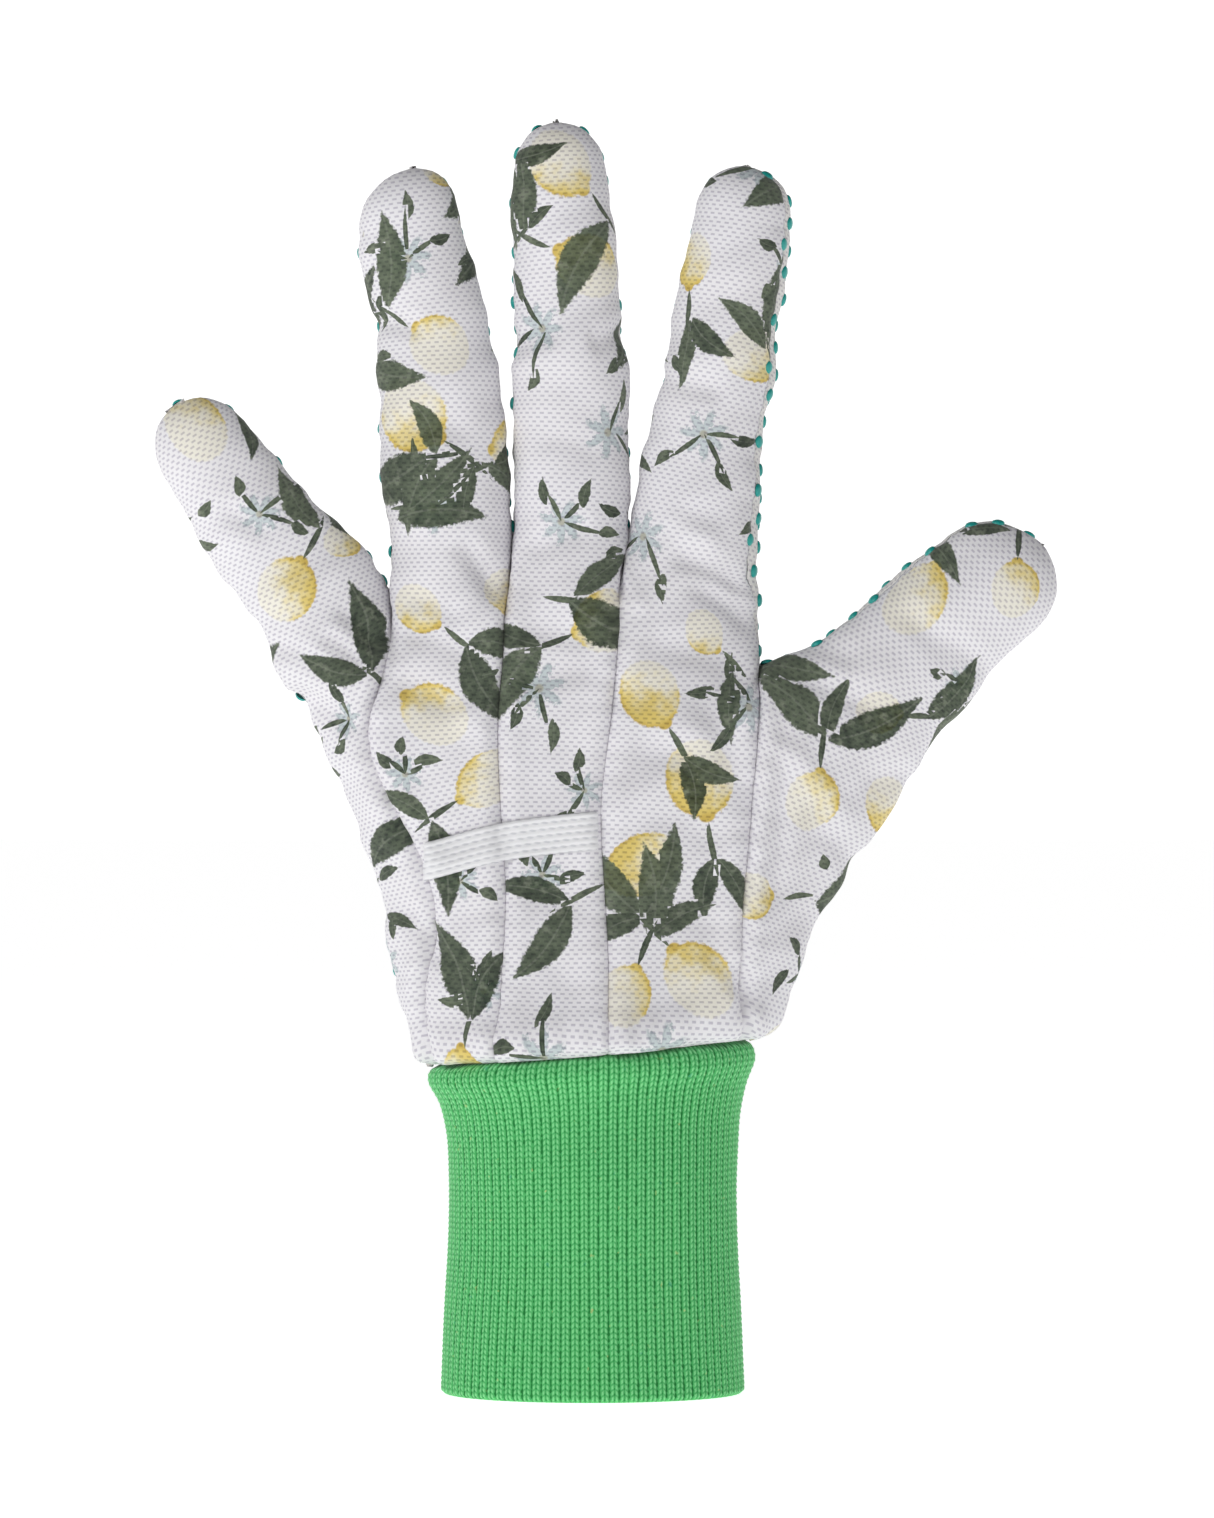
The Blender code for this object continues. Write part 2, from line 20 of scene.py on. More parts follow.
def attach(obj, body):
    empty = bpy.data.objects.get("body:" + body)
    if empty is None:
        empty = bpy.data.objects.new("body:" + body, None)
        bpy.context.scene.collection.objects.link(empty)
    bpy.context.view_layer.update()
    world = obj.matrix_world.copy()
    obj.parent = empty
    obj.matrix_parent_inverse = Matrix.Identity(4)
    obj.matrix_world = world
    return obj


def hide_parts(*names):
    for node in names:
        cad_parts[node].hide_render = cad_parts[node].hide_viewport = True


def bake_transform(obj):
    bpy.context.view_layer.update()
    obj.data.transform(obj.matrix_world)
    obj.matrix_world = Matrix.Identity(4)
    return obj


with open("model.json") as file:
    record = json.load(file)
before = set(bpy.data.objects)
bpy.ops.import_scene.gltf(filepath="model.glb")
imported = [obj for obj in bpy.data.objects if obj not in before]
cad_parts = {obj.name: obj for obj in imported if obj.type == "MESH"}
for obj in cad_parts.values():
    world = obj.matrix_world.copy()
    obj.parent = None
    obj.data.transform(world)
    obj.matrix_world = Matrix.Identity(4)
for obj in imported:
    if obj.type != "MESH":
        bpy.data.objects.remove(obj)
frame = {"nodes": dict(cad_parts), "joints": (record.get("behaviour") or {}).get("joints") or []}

bpy.context.view_layer.update()

MM = 0.001
CLOTH = 0.9
CELL = 1.1
print("cloth", CLOTH, "mm thick, drawn on a grid of about", CELL, "mm")

# %% [markdown]
# ## Camera, floor and light
# The glove is looked at from straight in front of its back, level, from over a metre away, so that it
# hardly tapers with depth. A wide pale floor, bright surroundings and large soft lights on both sides
# stand for a white studio.

# %% Camera
IMAGE_HEIGHT = 318.8          # what the camera takes in, from top to bottom, at the glove
CAMERA_DISTANCE = 1300.0
CAMERA_HEIGHT = 133.1
SENSOR = 36.0


def make_camera():
    lens = bpy.data.cameras.new("camera")
    lens.sensor_width = SENSOR
    lens.lens = SENSOR * CAMERA_DISTANCE / IMAGE_HEIGHT
    lens.clip_end = 20.0
    camera = bpy.data.objects.new("camera", lens)
    camera.location = (0.0, -CAMERA_DISTANCE * MM, CAMERA_HEIGHT * MM)
    camera.rotation_euler = (math.radians(90), 0.0, 0.0)
    bpy.context.scene.collection.objects.link(camera)
    bpy.context.scene.camera = camera
    return camera


camera = make_camera()
print("lens", round(camera.data.lens, 1), "mm")


# %% A helper that turns a grid of points into a mesh
def add_object(name, mesh):
    piece = bpy.data.objects.new(name, mesh)
    bpy.context.scene.collection.objects.link(piece)
    return piece


def mesh_from(name, points, faces):
    """A smooth-shaded mesh from points in millimetres."""
    mesh = bpy.data.meshes.new(name)
    mesh.from_pydata((np.asarray(points) * MM).tolist(), [], faces)
    mesh.shade_smooth()
    return mesh


def grid_faces(rows, columns, closed=False):
    """Quads of a grid of points; a closed grid joins its last column to its first."""
    faces = []
    wide = columns if closed else columns - 1
    for row in range(rows - 1):
        for column in range(wide):
            after = (column + 1) % columns
            faces.append((row * columns + column, row * columns + after,
                          (row + 1) * columns + after, (row + 1) * columns + column))
    return faces


# %% [markdown]
# ## Measuring the frame
# Each digit is a back of one cloth and a front of another. A smooth spine runs from the wrist through the
# digit's joint to its tip. Planes square to the spine cut the CAD solids, and each cut gives five
# numbers for the back and five for the front: where the two edges lie, and how far the cloth crowns
# between them. Smoothing those numbers along the spine turns the facets into a flowing surface.

# %% Cutting the CAD with planes
def triangles(names):
    """Every triangle of the named CAD nodes, in millimetres: an array (triangle, corner, xyz)."""
    parts = []
    for name in names:
        mesh = frame["nodes"][name].data
        mesh.calc_loop_triangles()
        points = np.array([vertex.co for vertex in mesh.vertices]) / MM
        parts.append(points[np.array([triangle.vertices for triangle in mesh.loop_triangles])])
    return np.concatenate(parts)


def cut(faces, centre, normal):
    """The points where a plane crosses the triangles' edges."""
    side = (faces - centre) @ normal
    found = []
    for a, b in ((0, 1), (1, 2), (2, 0)):
        crossing = side[:, a] * side[:, b] < 0
        share = side[crossing, a] / (side[crossing, a] - side[crossing, b])
        found.append(faces[crossing, a] + share[:, None] * (faces[crossing, b] - faces[crossing, a]))
    return np.concatenate(found)


def blurred(values, spacing, radius):
    """Values smoothed with a bell of the given radius; the ends keep their slope."""
    values = np.asarray(values, float)
    reach = max(1, int(3 * radius / spacing))
    before = 2 * values[0] - values[1:reach + 1][::-1]
    after = 2 * values[-1] - values[-reach - 1:-1][::-1]
    padded = np.concatenate([before, values, after])
    offsets = np.arange(-reach, reach + 1) * spacing
    bell = np.exp(-0.5 * (offsets / radius) ** 2)
    return np.convolve(padded, bell / bell.sum(), mode="valid")


# %% The spine of a digit
SPINE_STEP = 1.0


class Spine:
    """A smooth line in the plane of the hand, with a direction and an across direction all along."""

    def __init__(self, points):
        points = np.array(points)
        lengths = np.concatenate([[0], np.cumsum(np.linalg.norm(np.diff(points, axis=0), axis=1))])
        at = np.arange(0, lengths[-1], SPINE_STEP)
        line = np.stack([np.interp(at, lengths, points[:, axis]) for axis in (0, 1)], axis=1)
        line = np.stack([blurred(line[:, axis], SPINE_STEP, 9.0) for axis in (0, 1)], axis=1)
        ahead = np.gradient(line, axis=0)
        ahead /= np.linalg.norm(ahead, axis=1)[:, None]
        self.at = np.concatenate([[0], np.cumsum(np.linalg.norm(np.diff(line, axis=0), axis=1))])
        self.line = line
        self.ahead = ahead
        self.length = self.at[-1]

    def _read(self, table, v):
        """Read a table along the spine; past its ends the line goes straight on."""
        return np.stack([np.interp(v, self.at, table[:, axis]) for axis in (0, 1)], axis=-1)

    def centre(self, v):
        v = np.asarray(v, float)
        beyond = (v - np.clip(v, 0, self.length))[..., None]
        return self._read(self.line, v) + beyond * self.direction(v)

    def direction(self, v):
        ahead = self._read(self.ahead, v)
        return ahead / np.linalg.norm(ahead, axis=-1, keepdims=True)

    def across(self, v):
        ahead = self.direction(v)
        return np.stack([ahead[..., 1], -ahead[..., 0]], axis=-1)

    def place(self, point):
        """(v, a): how far along the spine, and across it, a point (x, z) lies."""
        nearest = np.argmin(np.linalg.norm(self.line - point, axis=1))
        offset = point - self.line[nearest]
        return self.at[nearest] + offset @ self.ahead[nearest], offset @ self.across(self.at[nearest])


joints = {joint["name"]: joint for joint in frame["joints"]}


def hinge(name):
    """A hinge's centre and the direction the digit grows from it, in millimetres."""
    joint = joints[name]
    centre = np.array(joint["pos_m"]) / MM
    axis = np.array(joint["axis"])
    return centre, np.array([axis[2], 0.0, -axis[0]])


print("joints:", ", ".join(joints))


# %% Where each digit lies in the frame
FINGER_NAMES = ("little", "ring", "middle", "index")
DIGIT_NAMES = FINGER_NAMES + ("thumb",)


def cad_nodes(digit, side):
    """The CAD nodes of a digit's back or front, from the wrist to the tip."""
    if digit == "thumb":
        return [f"thumb_{side}_panel", f"thumb_{side}_tip"]
    root = f"{digit}_back_strip" if side == "back" else "palm_panel"
    return [root, f"{digit}_{side}_lower", f"{digit}_{side}_tip"]


def flat(point):
    return np.array([point[0], point[2]])


def middle_at(faces, height):
    """The middle of a node at a height, as (x, z)."""
    points = cut(faces, np.array([0.0, 0.0, height]), np.array([0.0, 0.0, 1.0]))
    return np.array([(points[:, 0].min() + points[:, 0].max()) / 2, height])


def tip_of(name, ahead):
    """The farthest point of a node along a direction, as (x, z)."""
    points = triangles([name]).reshape(-1, 3)[:, [0, 2]]
    reach = points @ ahead
    return points[reach > reach.max() - 0.3].mean(axis=0)


def make_spine(digit):
    centre, ahead = hinge(f"{digit}_bend")
    tip = tip_of(f"{digit}_back_tip", flat(ahead))
    if digit == "thumb":
        faces = triangles(["thumb_back_panel"])
        heights = (78.0, 95.0, 110.0)
    else:
        faces = triangles([f"{digit}_back_strip"])
        heights = (76.0, 95.0, 115.0, 135.0, 148.0)
    route = [middle_at(faces, height) for height in heights]
    if digit != "thumb":
        base = triangles([f"{digit}_back_lower"]).reshape(-1, 3)
        lowest = base[base[:, 2] < base[:, 2].min() + 8.0]
        route.append(flat(lowest.mean(axis=0)))
    return Spine(route + [flat(centre), tip])


spines = {digit: make_spine(digit) for digit in DIGIT_NAMES}
for digit, spine in spines.items():
    print(digit, "spine", round(float(spine.length), 1), "mm long")

# %% Measuring edges and crown along a spine
MEASURE_STEP = 2.0
MEASURE_BLUR = 3.0
WRIST_CLEAR = 5.0             # above the slanting wrist seam, where whole cuts begin
WHOLE_CUT = 0.85              # a cut narrower than this share of its neighbours ran into a joint's gap


def section(faces, spine, v):
    """(across, depth) of every point where the plane at v cuts the faces."""
    middle = spine.centre(v)
    ahead = spine.direction(v)
    points = cut(faces, np.array([middle[0], 0.0, middle[1]]), np.array([ahead[0], 0.0, ahead[1]]))
    return np.stack([(points[:, [0, 2]] - middle) @ spine.across(v), points[:, 1]], axis=1)


def chord_of(points):
    """The two ends of a curved strip in section: the farthest points along its own chord."""
    direction = np.array([1.0, 0.0])
    for _ in range(3):
        reach = points @ direction
        left, right = points[reach.argmin()], points[reach.argmax()]
        direction = (right - left) / np.linalg.norm(right - left)
    return left, right


def crown_of(points, left, right, side):
    """How far a section stands out from its chord, on the back (-1) or the palm side (+1)."""
    chord = (right - left) / np.linalg.norm(right - left)
    outward = np.array([-chord[1], chord[0]]) * side
    return max(0.0, ((points - left) @ outward).max())


def wrist_corner(points, spine, towards):
    """The lowest outer corner of a strip on its left (-1) or right (+1), as (v, across, depth)."""
    score = 0.35 * towards * points[:, 0] - points[:, 2]
    corner = points[score.argmax()]
    v, across = spine.place(corner[[0, 2]])
    return np.array([v, across, corner[1]])


def evenly(table, at, blur=MEASURE_BLUR):
    """A table whose first column is v, read at even places and smoothed; its start goes straight on."""
    columns = []
    for column in range(1, table.shape[1]):
        values = np.interp(at, table[:, 0], table[:, column])
        slope = (table[1, column] - table[0, column]) / (table[1, 0] - table[0, 0])
        early = at < table[0, 0]
        values[early] = table[0, column] + slope * (at[early] - table[0, 0])
        columns.append(blurred(values, at[1] - at[0], blur))
    return np.stack(columns, axis=1)


def tip_arch(t):
    """Half width of a fingertip's rounded end, from 1 where it starts (t = 0) to 0 at the tip (t = 1)."""
    return np.sqrt(np.clip(1 - t ** 2.4, 0, 1))


class Side:
    """One side of a digit, as smooth functions of v: its left and right edge (a, y) and its crown."""

    def __init__(self, digit, side):
        spine = spines[digit]
        self.sign = -1 if side == "back" else 1
        names = cad_nodes(digit, side)
        faces = triangles(names)
        rows = []
        for v in np.arange(WRIST_CLEAR, spine.length - 1.0, MEASURE_STEP):
            points = section(faces, spine, v)
            if len(points) > 5:
                left, right = chord_of(points)
                rows.append((v, *left, *right, crown_of(points, left, right, self.sign)))
        rows = np.array(rows)
        width = np.hypot(rows[:, 3] - rows[:, 1], rows[:, 4] - rows[:, 2])
        usual = np.array([np.median(width[max(0, i - 5):i + 6]) for i in range(len(width))])
        ending = rows[:, 0] > spine.length - 18.0
        rows = rows[(width > WHOLE_CUT * usual) | ending]
        root = triangles(names[:1]).reshape(-1, 3)
        left = np.vstack([wrist_corner(root, spine, -1), rows[:, [0, 1, 2]]])
        right = np.vstack([wrist_corner(root, spine, 1), rows[:, [0, 3, 4]]])
        self.start = (left[0, 0], right[0, 0])
        self.end = spine.length
        self.at = np.arange(-6.0, spine.length + 1.0, 1.0)
        self.left = evenly(left, self.at)
        self.right = evenly(right, self.at)
        self.crown = evenly(rows[:, [0, 5]], self.at)
        self._round_tip()

    def _round_tip(self):
        """Past the last straight stretch the edges close on the tip in a rounded arch."""
        def at(table, v):
            return np.array([np.interp(v, self.at, table[:, column]) for column in range(table.shape[1])])
        start = self.end - 16.0
        half = (at(self.right, start)[0] - at(self.left, start)[0]) / 2
        cap = min(15.0, 1.15 * half)
        start = self.end - cap
        left, right, crown = at(self.left, start), at(self.right, start), at(self.crown, start)[0]
        self.dome = start
        beyond = self.at > start
        t = np.clip((self.at[beyond] - start) / cap, 0, 1)
        arch = tip_arch(t)
        middle = (left + right) / 2 * (1 - t ** 2)[:, None]
        self.left[beyond] = middle + (left - right) / 2 * arch[:, None]
        self.right[beyond] = middle + (right - left) / 2 * arch[:, None]
        self.crown[beyond] = (crown * arch)[:, None]
        self.cap, self.cap_edges, self.cap_crown = cap, (left, right), crown

    def read(self, v):
        """Edges and crown at v: left a, left y, right a, right y, crown."""
        v = np.asarray(v, float)
        tables = (self.left[:, 0], self.left[:, 1], self.right[:, 0], self.right[:, 1], self.crown[:, 0])
        values = [np.interp(v, self.at, table) for table in tables]
        t = np.clip((v - self.dome) / self.cap, 0, 1)
        arch = tip_arch(t)
        left, right = self.cap_edges
        for column, (near, far) in enumerate(((left[0], right[0]), (left[1], right[1]),
                                              (right[0], left[0]), (right[1], left[1]))):
            rounded = (near + far) / 2 * (1 - t ** 2) + (near - far) / 2 * arch
            values[column] = np.where(t > 0, rounded, values[column])
        values[4] = np.where(t > 0, self.cap_crown * arch, values[4])
        return values


backs = {digit: Side(digit, "back") for digit in DIGIT_NAMES}
thumb_front = Side("thumb", "front")
for digit, side in backs.items():
    print(digit, "from v", np.round(side.start, 1), "to", round(float(side.end), 1))

# %% The wrist seam and the palm, one shallow arch above it
PALM_STEP = 4.0
PALM_TOP = 76.0               # above the wrist seam; the webs of the fingers begin higher up


def wrist_line():
    """Slope and height at x = 0 of the line where the cloth meets the cuff."""
    points = triangles(["palm_panel"]).reshape(-1, 3)
    corners = []
    for towards in (-1, 1):
        score = 0.35 * towards * points[:, 0] - points[:, 2]
        corners.append(points[score.argmax()])
    slope = (corners[1][2] - corners[0][2]) / (corners[1][0] - corners[0][0])
    return slope, corners[0][2] - slope * corners[0][0]


WRIST_SLOPE, WRIST_HEIGHT = wrist_line()


def above_wrist(x, z):
    """Height of a place (x, z) over the sloping wrist seam."""
    return z - WRIST_HEIGHT - WRIST_SLOPE * x


def palm_levels():
    """For each height above the wrist seam: x and y of the palm's two edges, and its crown."""
    faces = triangles(["palm_panel"])
    normal = np.array([-WRIST_SLOPE, 0.0, 1.0])
    rows = []
    for height in np.concatenate([[0.6], np.arange(PALM_STEP, PALM_TOP, PALM_STEP)]):
        points = cut(faces, np.array([0.0, 0.0, WRIST_HEIGHT + height]), normal)[:, :2]
        left, right = chord_of(points)
        rows.append((height, *left, *right, crown_of(points, left, right, 1)))
    return np.array(rows)


PALM = palm_levels()


def palm_depth(x, z):
    """How far out the palm's cloth lies at a place (x, z)."""
    height = above_wrist(x, z)
    left_x, left_y, right_x, right_y, crown = [np.interp(height, PALM[:, 0], PALM[:, column])
                                               for column in range(1, 6)]
    share = np.clip((x - left_x) / (right_x - left_x), 0.0, 1.0)
    return left_y + (right_y - left_y) * share + crown * 2 * np.sqrt(share * (1 - share))


print("wrist seam rises", round(WRIST_SLOPE, 3), "palm crown", np.round(PALM[::6, 5], 1))

# %% [markdown]
# ## Cloth, lofted row by row
# A row runs across one strip from seam to seam. In the hand, neighbouring strips share a seam, so their
# rows start and end at the same heights and the palm's four fields can be welded into one cloth. Above
# the webs the rows turn square to the finger, and at the tip they close in an arch. Columns crowd
# towards the seams, where the cloth curves most.

# %% Rows
COLUMNS = 28
HAND_ROWS = 88
TIP_ARCH_ROWS = 12
BEND_ZONE = 10.0              # how far below a finger's bend, and a millimetre more, its tip piece starts
WEB_BLEND = 16.0              # below a web, where the palm's cloth dips in between the fingers

SHARE = np.linspace(0, 1, COLUMNS + 1)
FRACTION = (1 - np.cos(np.pi * SHARE)) / 2


def edge_heights(digit, edge):
    """(v, z) all along one edge of a digit's back."""
    side, spine = backs[digit], spines[digit]
    v = np.arange(side.start[edge], side.end - 16.0, 0.5)
    a = side.read(v)[2 * edge]
    return v, (spine.centre(v) + spine.across(v) * a[:, None])[:, 1]


def web_height(left_digit, right_digit):
    """The height at which two neighbouring strips part: where their shared seam has come to y = 0."""
    found = []
    for digit, edge in ((left_digit, 1), (right_digit, 0)):
        v, z = edge_heights(digit, edge)
        depth = backs[digit].read(v)[2 * edge + 1]
        found.append(z[np.argmax((depth > -1.0) & (z > 150.0))])
    return sum(found) / 2


WEBS = [web_height(*pair) for pair in zip(FINGER_NAMES, FINGER_NAMES[1:])]
print("webs at z", np.round(WEBS, 1))


def along_edge(digit, edge, shares, top):
    """v of an edge at even shares of the height from the wrist to its web."""
    v, z = edge_heights(digit, edge)
    place = spines[digit].centre(v[0]) + spines[digit].across(v[0]) * backs[digit].read(v[0])[2 * edge]
    bottom = WRIST_HEIGHT + WRIST_SLOPE * place[0]
    return np.interp(bottom + shares * (top - bottom), z, v)


THUMB_SQUARE = 66.0           # v on the thumb from which its rows run square to it


def tip_rows(side, start):
    """v from a place on the finger to its tip, closer together in the arch at the end."""
    straight = np.arange(start + CELL, side.dome, CELL)
    turn = np.linspace(0, 1, TIP_ARCH_ROWS + 1) * math.pi / 2
    return np.concatenate([straight, side.dome + side.cap * np.sin(turn)])


def rows_of(digit):
    """For one digit: v at the left and right end of every row, and the row where its lower piece ends."""
    side = backs[digit]
    shares = np.linspace(0, 1, HAND_ROWS + 1)
    if digit == "thumb":
        left = side.start[0] + (THUMB_SQUARE - side.start[0]) * shares
        right = side.start[1] + (THUMB_SQUARE - side.start[1]) * shares
        rest = tip_rows(side, THUMB_SQUARE)
        ends = np.concatenate([np.stack([left, right], axis=1), np.stack([rest, rest], axis=1)])
        return ends, len(ends) - 1
    number = FINGER_NAMES.index(digit)
    if number < 3:
        right = along_edge(digit, 1, shares, WEBS[number])
    if number > 0:
        left = along_edge(digit, 0, shares, WEBS[number - 1])
    if number == 0:
        left = side.start[0] + (right[-1] - side.start[0]) * shares
    if number == 3:
        right = side.start[1] + (left[-1] - side.start[1]) * shares
    joint = spines[digit].place(flat(hinge(f"{digit}_bend")[0]))[0]
    split = joint - BEND_ZONE - 1.0
    count = int(math.ceil((split - min(left[-1], right[-1])) / CELL))
    turning = np.linspace(0, 1, count + 1)[1:]
    left_turn = left[-1] + (split - left[-1]) * turning
    right_turn = right[-1] + (split - right[-1]) * turning
    rest = tip_rows(side, split)
    left = np.concatenate([left, left_turn, rest])
    right = np.concatenate([right, right_turn, rest])
    return np.stack([left, right], axis=1), HAND_ROWS + count


ROWS = {digit: rows_of(digit) for digit in DIGIT_NAMES}
for digit, (ends, split) in ROWS.items():
    print(digit, len(ends), "rows, lower piece ends at row", split)

# %% The smooth surface of one side of a digit
def ease(value):
    value = np.clip(value, 0.0, 1.0)
    return value * value * (3 - 2 * value)


def thumb_crotch():
    """The height at which the thumb leaves the index strip: where the strip's edge has come to y = 0."""
    v, z = edge_heights("index", 1)
    depth = backs["index"].read(v)[3]
    return z[np.argmax((depth > -1.0) & (z > 140.0))]


THUMB_CROTCH = thumb_crotch()
print("thumb crotch at z", round(THUMB_CROTCH, 1))


# how far the palm's cloth wraps round a finger's left and right side onto the back, in radians
WRAP = {"little": (-0.2, -0.2), "ring": (-0.2, -0.2), "middle": (0.0, -0.2), "index": (-0.2, 0.45),
        "thumb": (0.2, -0.65)}


def seam_angles(digit, v, front):
    """Where a side starts and ends on the arch: 0 at the left side seam, pi at the right one."""
    left, right = WRAP[digit]
    ends, _ = ROWS[digit]
    above = ease((np.arange(len(ends)) - HAND_ROWS) / 14.0)[:, None]
    if digit == "index":
        spine = spines[digit]
        height = (spine.centre(v[:, -1]))[:, 1:]
        above = ease((height - THUMB_CROTCH - 4.0) / 14.0)
    if digit == "thumb":
        row = np.arange(len(ends))[:, None]
        left = left * ease((row - len(ends) + 50.0) / 20.0)
        right = right * ease(row / 20.0)
    else:
        left, right = left * above, right * above
    if front:
        left, right = -left, -right
    return left + (np.pi - left - right) * SHARE


def loft(digit, side_name):
    """Points of one side of a digit: an array (row, column, xyz) in millimetres."""
    spine = spines[digit]
    front = side_name == "front"
    side = thumb_front if front and digit == "thumb" else backs[digit]
    ends, _ = ROWS[digit]
    v = ends[:, :1] * (1 - FRACTION) + ends[:, 1:] * FRACTION
    angle = seam_angles(digit, v, front)
    fraction = (1 - np.cos(angle)) / 2
    left_a, left_y, right_a, right_y, crown = side.read(v)
    edges = np.stack([left_y[:, 0], right_y[:, -1]], axis=1)
    sign = 1 if front else -1
    if front and digit != "thumb":
        left_y, right_y = -left_y, -right_y
    run_a, run_y = right_a - left_a, right_y - left_y
    length = np.hypot(run_a, run_y) + 1e-9
    bulge = np.sign(np.sin(angle)) * np.abs(np.sin(angle)) ** 0.92
    arch = crown * bulge * sign
    a = left_a + run_a * fraction - run_y / length * arch
    y = left_y + run_y * fraction + run_a / length * arch
    flat_points = spine.centre(v) + spine.across(v) * a[..., None]
    x, z = flat_points[..., 0], flat_points[..., 1]
    if front and digit != "thumb":
        row = np.arange(len(ends))[:, None]
        below_web = (HAND_ROWS - row) * 100.0 / HAND_ROWS
        finger = ease(1 - below_web / WEB_BLEND)
        if digit == "index":
            thumb_side = ease(1 - (THUMB_CROTCH - z[:, -1:]) / WEB_BLEND)
            finger = finger * (1 - SHARE) + np.maximum(finger, thumb_side) * SHARE
        flat_a = left_a + run_a * FRACTION
        hand_points = spine.centre(v) + spine.across(v) * flat_a[..., None]
        x = hand_points[..., 0] * (1 - finger) + x * finger
        z = hand_points[..., 1] * (1 - finger) + z * finger
        y = palm_depth(x, z) * (1 - finger) + y * finger
    return np.stack([x, y, z], axis=-1), v, edges


surfaces = {}
for digit in DIGIT_NAMES:
    for side_name in ("back", "front"):
        surfaces[digit, side_name] = loft(digit, side_name)
print("lofted", sum(points[..., 0].size for points, _, _ in surfaces.values()), "points")

# %% [markdown]
# ## Sewing: valleys, puckers, creases
# Turned seams pull the cloth into narrow valleys with a soft shoulder on each side, the thread draws
# small puckers along them, and the cloth over the hand creases where fingers meet it. All of it is real
# displacement of the points along their normals, so that the meshes carry it.

# %% Lengths along a surface
def grid_normals(points, side_name):
    """Unit normals of a grid, pointing out of the glove."""
    rows = np.gradient(points, axis=0)
    columns = np.gradient(points, axis=1)
    normals = np.cross(columns, rows)
    if side_name == "front":
        normals = -normals
    return normals / (np.linalg.norm(normals, axis=2, keepdims=True) + 1e-12)


def arc_lengths(points):
    """Distance along each row from its left edge."""
    steps = np.linalg.norm(np.diff(points, axis=1), axis=2)
    return np.concatenate([np.zeros((len(points), 1)), np.cumsum(steps, axis=1)], axis=1)


# %% Creases of the filled cloth
# Each crease: start (x, z), end (x, z), half width and depth; a negative depth is a ridge.
CREASES = (
    ((-51, 225), (-38, 221), 2.2, 1.0), ((-22, 218), (-9, 222), 2.8, 0.7),
    ((6, 224), (-5, 221), 2.6, 0.7), ((12, 177), (32, 166), 2.4, 1.1), ((16, 170), (32, 159), 2.2, 0.9),
    ((10, 184), (24, 176), 2.6, -0.5), ((-32, 180), (-22, 164), 2.4, 1.2),
    ((-21, 148), (1, 151), 3.2, 0.8), ((-57, 166), (-46, 153), 2.0, 1.1),
    ((-61, 160), (-50, 150), 1.8, 0.8), ((-68, 148), (-52, 137), 2.4, 1.1),
    ((-72, 158), (-58, 150), 2.2, 0.6), ((37, 148), (33, 98), 3.0, 1.1),
    ((45, 132), (38, 92), 3.2, 0.8), ((36, 152), (58, 141), 2.6, 0.8),
    ((33, 140), (50, 118), 2.6, -0.7), ((20, 148), (29, 120), 3.4, 0.6),
    ((4, 137), (22, 129), 3.4, 0.5), ((-45, 150), (-30, 141), 2.6, 0.8),
    ((-42, 168), (-30, 160), 2.6, 0.6), ((-18, 176), (-2, 181), 2.6, 0.7),
    ((-44, 104), (-34, 88), 2.4, 0.8), ((20, 96), (30, 80), 2.8, 0.8), ((-18, 97), (-6, 82), 3.2, 0.5),
    ((60, 166), (74, 150), 3.0, 0.6), ((70, 160), (80, 148), 2.4, 0.5),
    ((-82, 186), (-70, 178), 2.2, 0.6), ((8, 214), (26, 207), 2.6, 0.6),
    ((-44, 205), (-28, 199), 2.8, 0.5), ((-16, 200), (0, 196), 2.8, 0.4),
    ((-44, 160), (-26, 153), 2.8, 0.6), ((-20, 160), (0, 156), 3.0, 0.6),
    ((5, 158), (30, 150), 3.0, 0.5), ((6, 122), (26, 114), 3.4, 0.5), ((8, 104), (28, 94), 3.4, 0.5),
    ((-20, 106), (-2, 100), 3.0, 0.4), ((-42, 118), (-28, 113), 2.6, 0.5),
    ((44, 120), (56, 104), 3.0, 0.6), ((52, 128), (66, 128), 2.8, 0.5),
    ((-36, 146), (-24, 136), 2.8, -0.4), ((12, 140), (26, 134), 3.2, -0.4),
    ((40, 158), (52, 152), 2.4, 0.5),
)


CREASE_STRENGTH = 2.1


def crease_depth(x, z):
    """How far the creases press the cloth in at places (x, z)."""
    total = np.zeros_like(x)
    for (x0, z0), (x1, z1), width, depth in CREASES:
        run = np.array([x1 - x0, z1 - z0], float)
        length = np.linalg.norm(run)
        run /= length
        along = ((x - x0) * run[0] + (z - z0) * run[1]) / length
        off = np.abs((z - z0) * run[0] - (x - x0) * run[1] - 1.4 * np.sin(2.2 * along))
        fading = ease(4 * along) * ease(4 * (1 - along))
        total += CREASE_STRENGTH * depth * fading * np.exp(-(off / width) ** 2)
    return total


def rumple(points, size, seed):
    """Smooth random heights between -1 and 1, about size millimetres across."""
    flat_points = points.reshape(-1, 3) / size + seed
    values = [noise.noise(Vector(point)) for point in flat_points]
    return np.array(values).reshape(points.shape[:2])


print(len(CREASES), "creases")

# %% Which way a row faces
def row_outward(points, side_name):
    """For each row, the direction square to its chord that points out of the glove."""
    chord = points[:, -1] - points[:, 0]
    chord /= np.linalg.norm(chord, axis=1, keepdims=True) + 1e-9
    out = np.array([0.0, -1.0 if side_name == "back" else 1.0, 0.0])
    square = out - (chord @ out)[:, None] * chord
    square /= np.linalg.norm(square, axis=1, keepdims=True)
    return np.repeat(square[:, None], points.shape[1], axis=1)


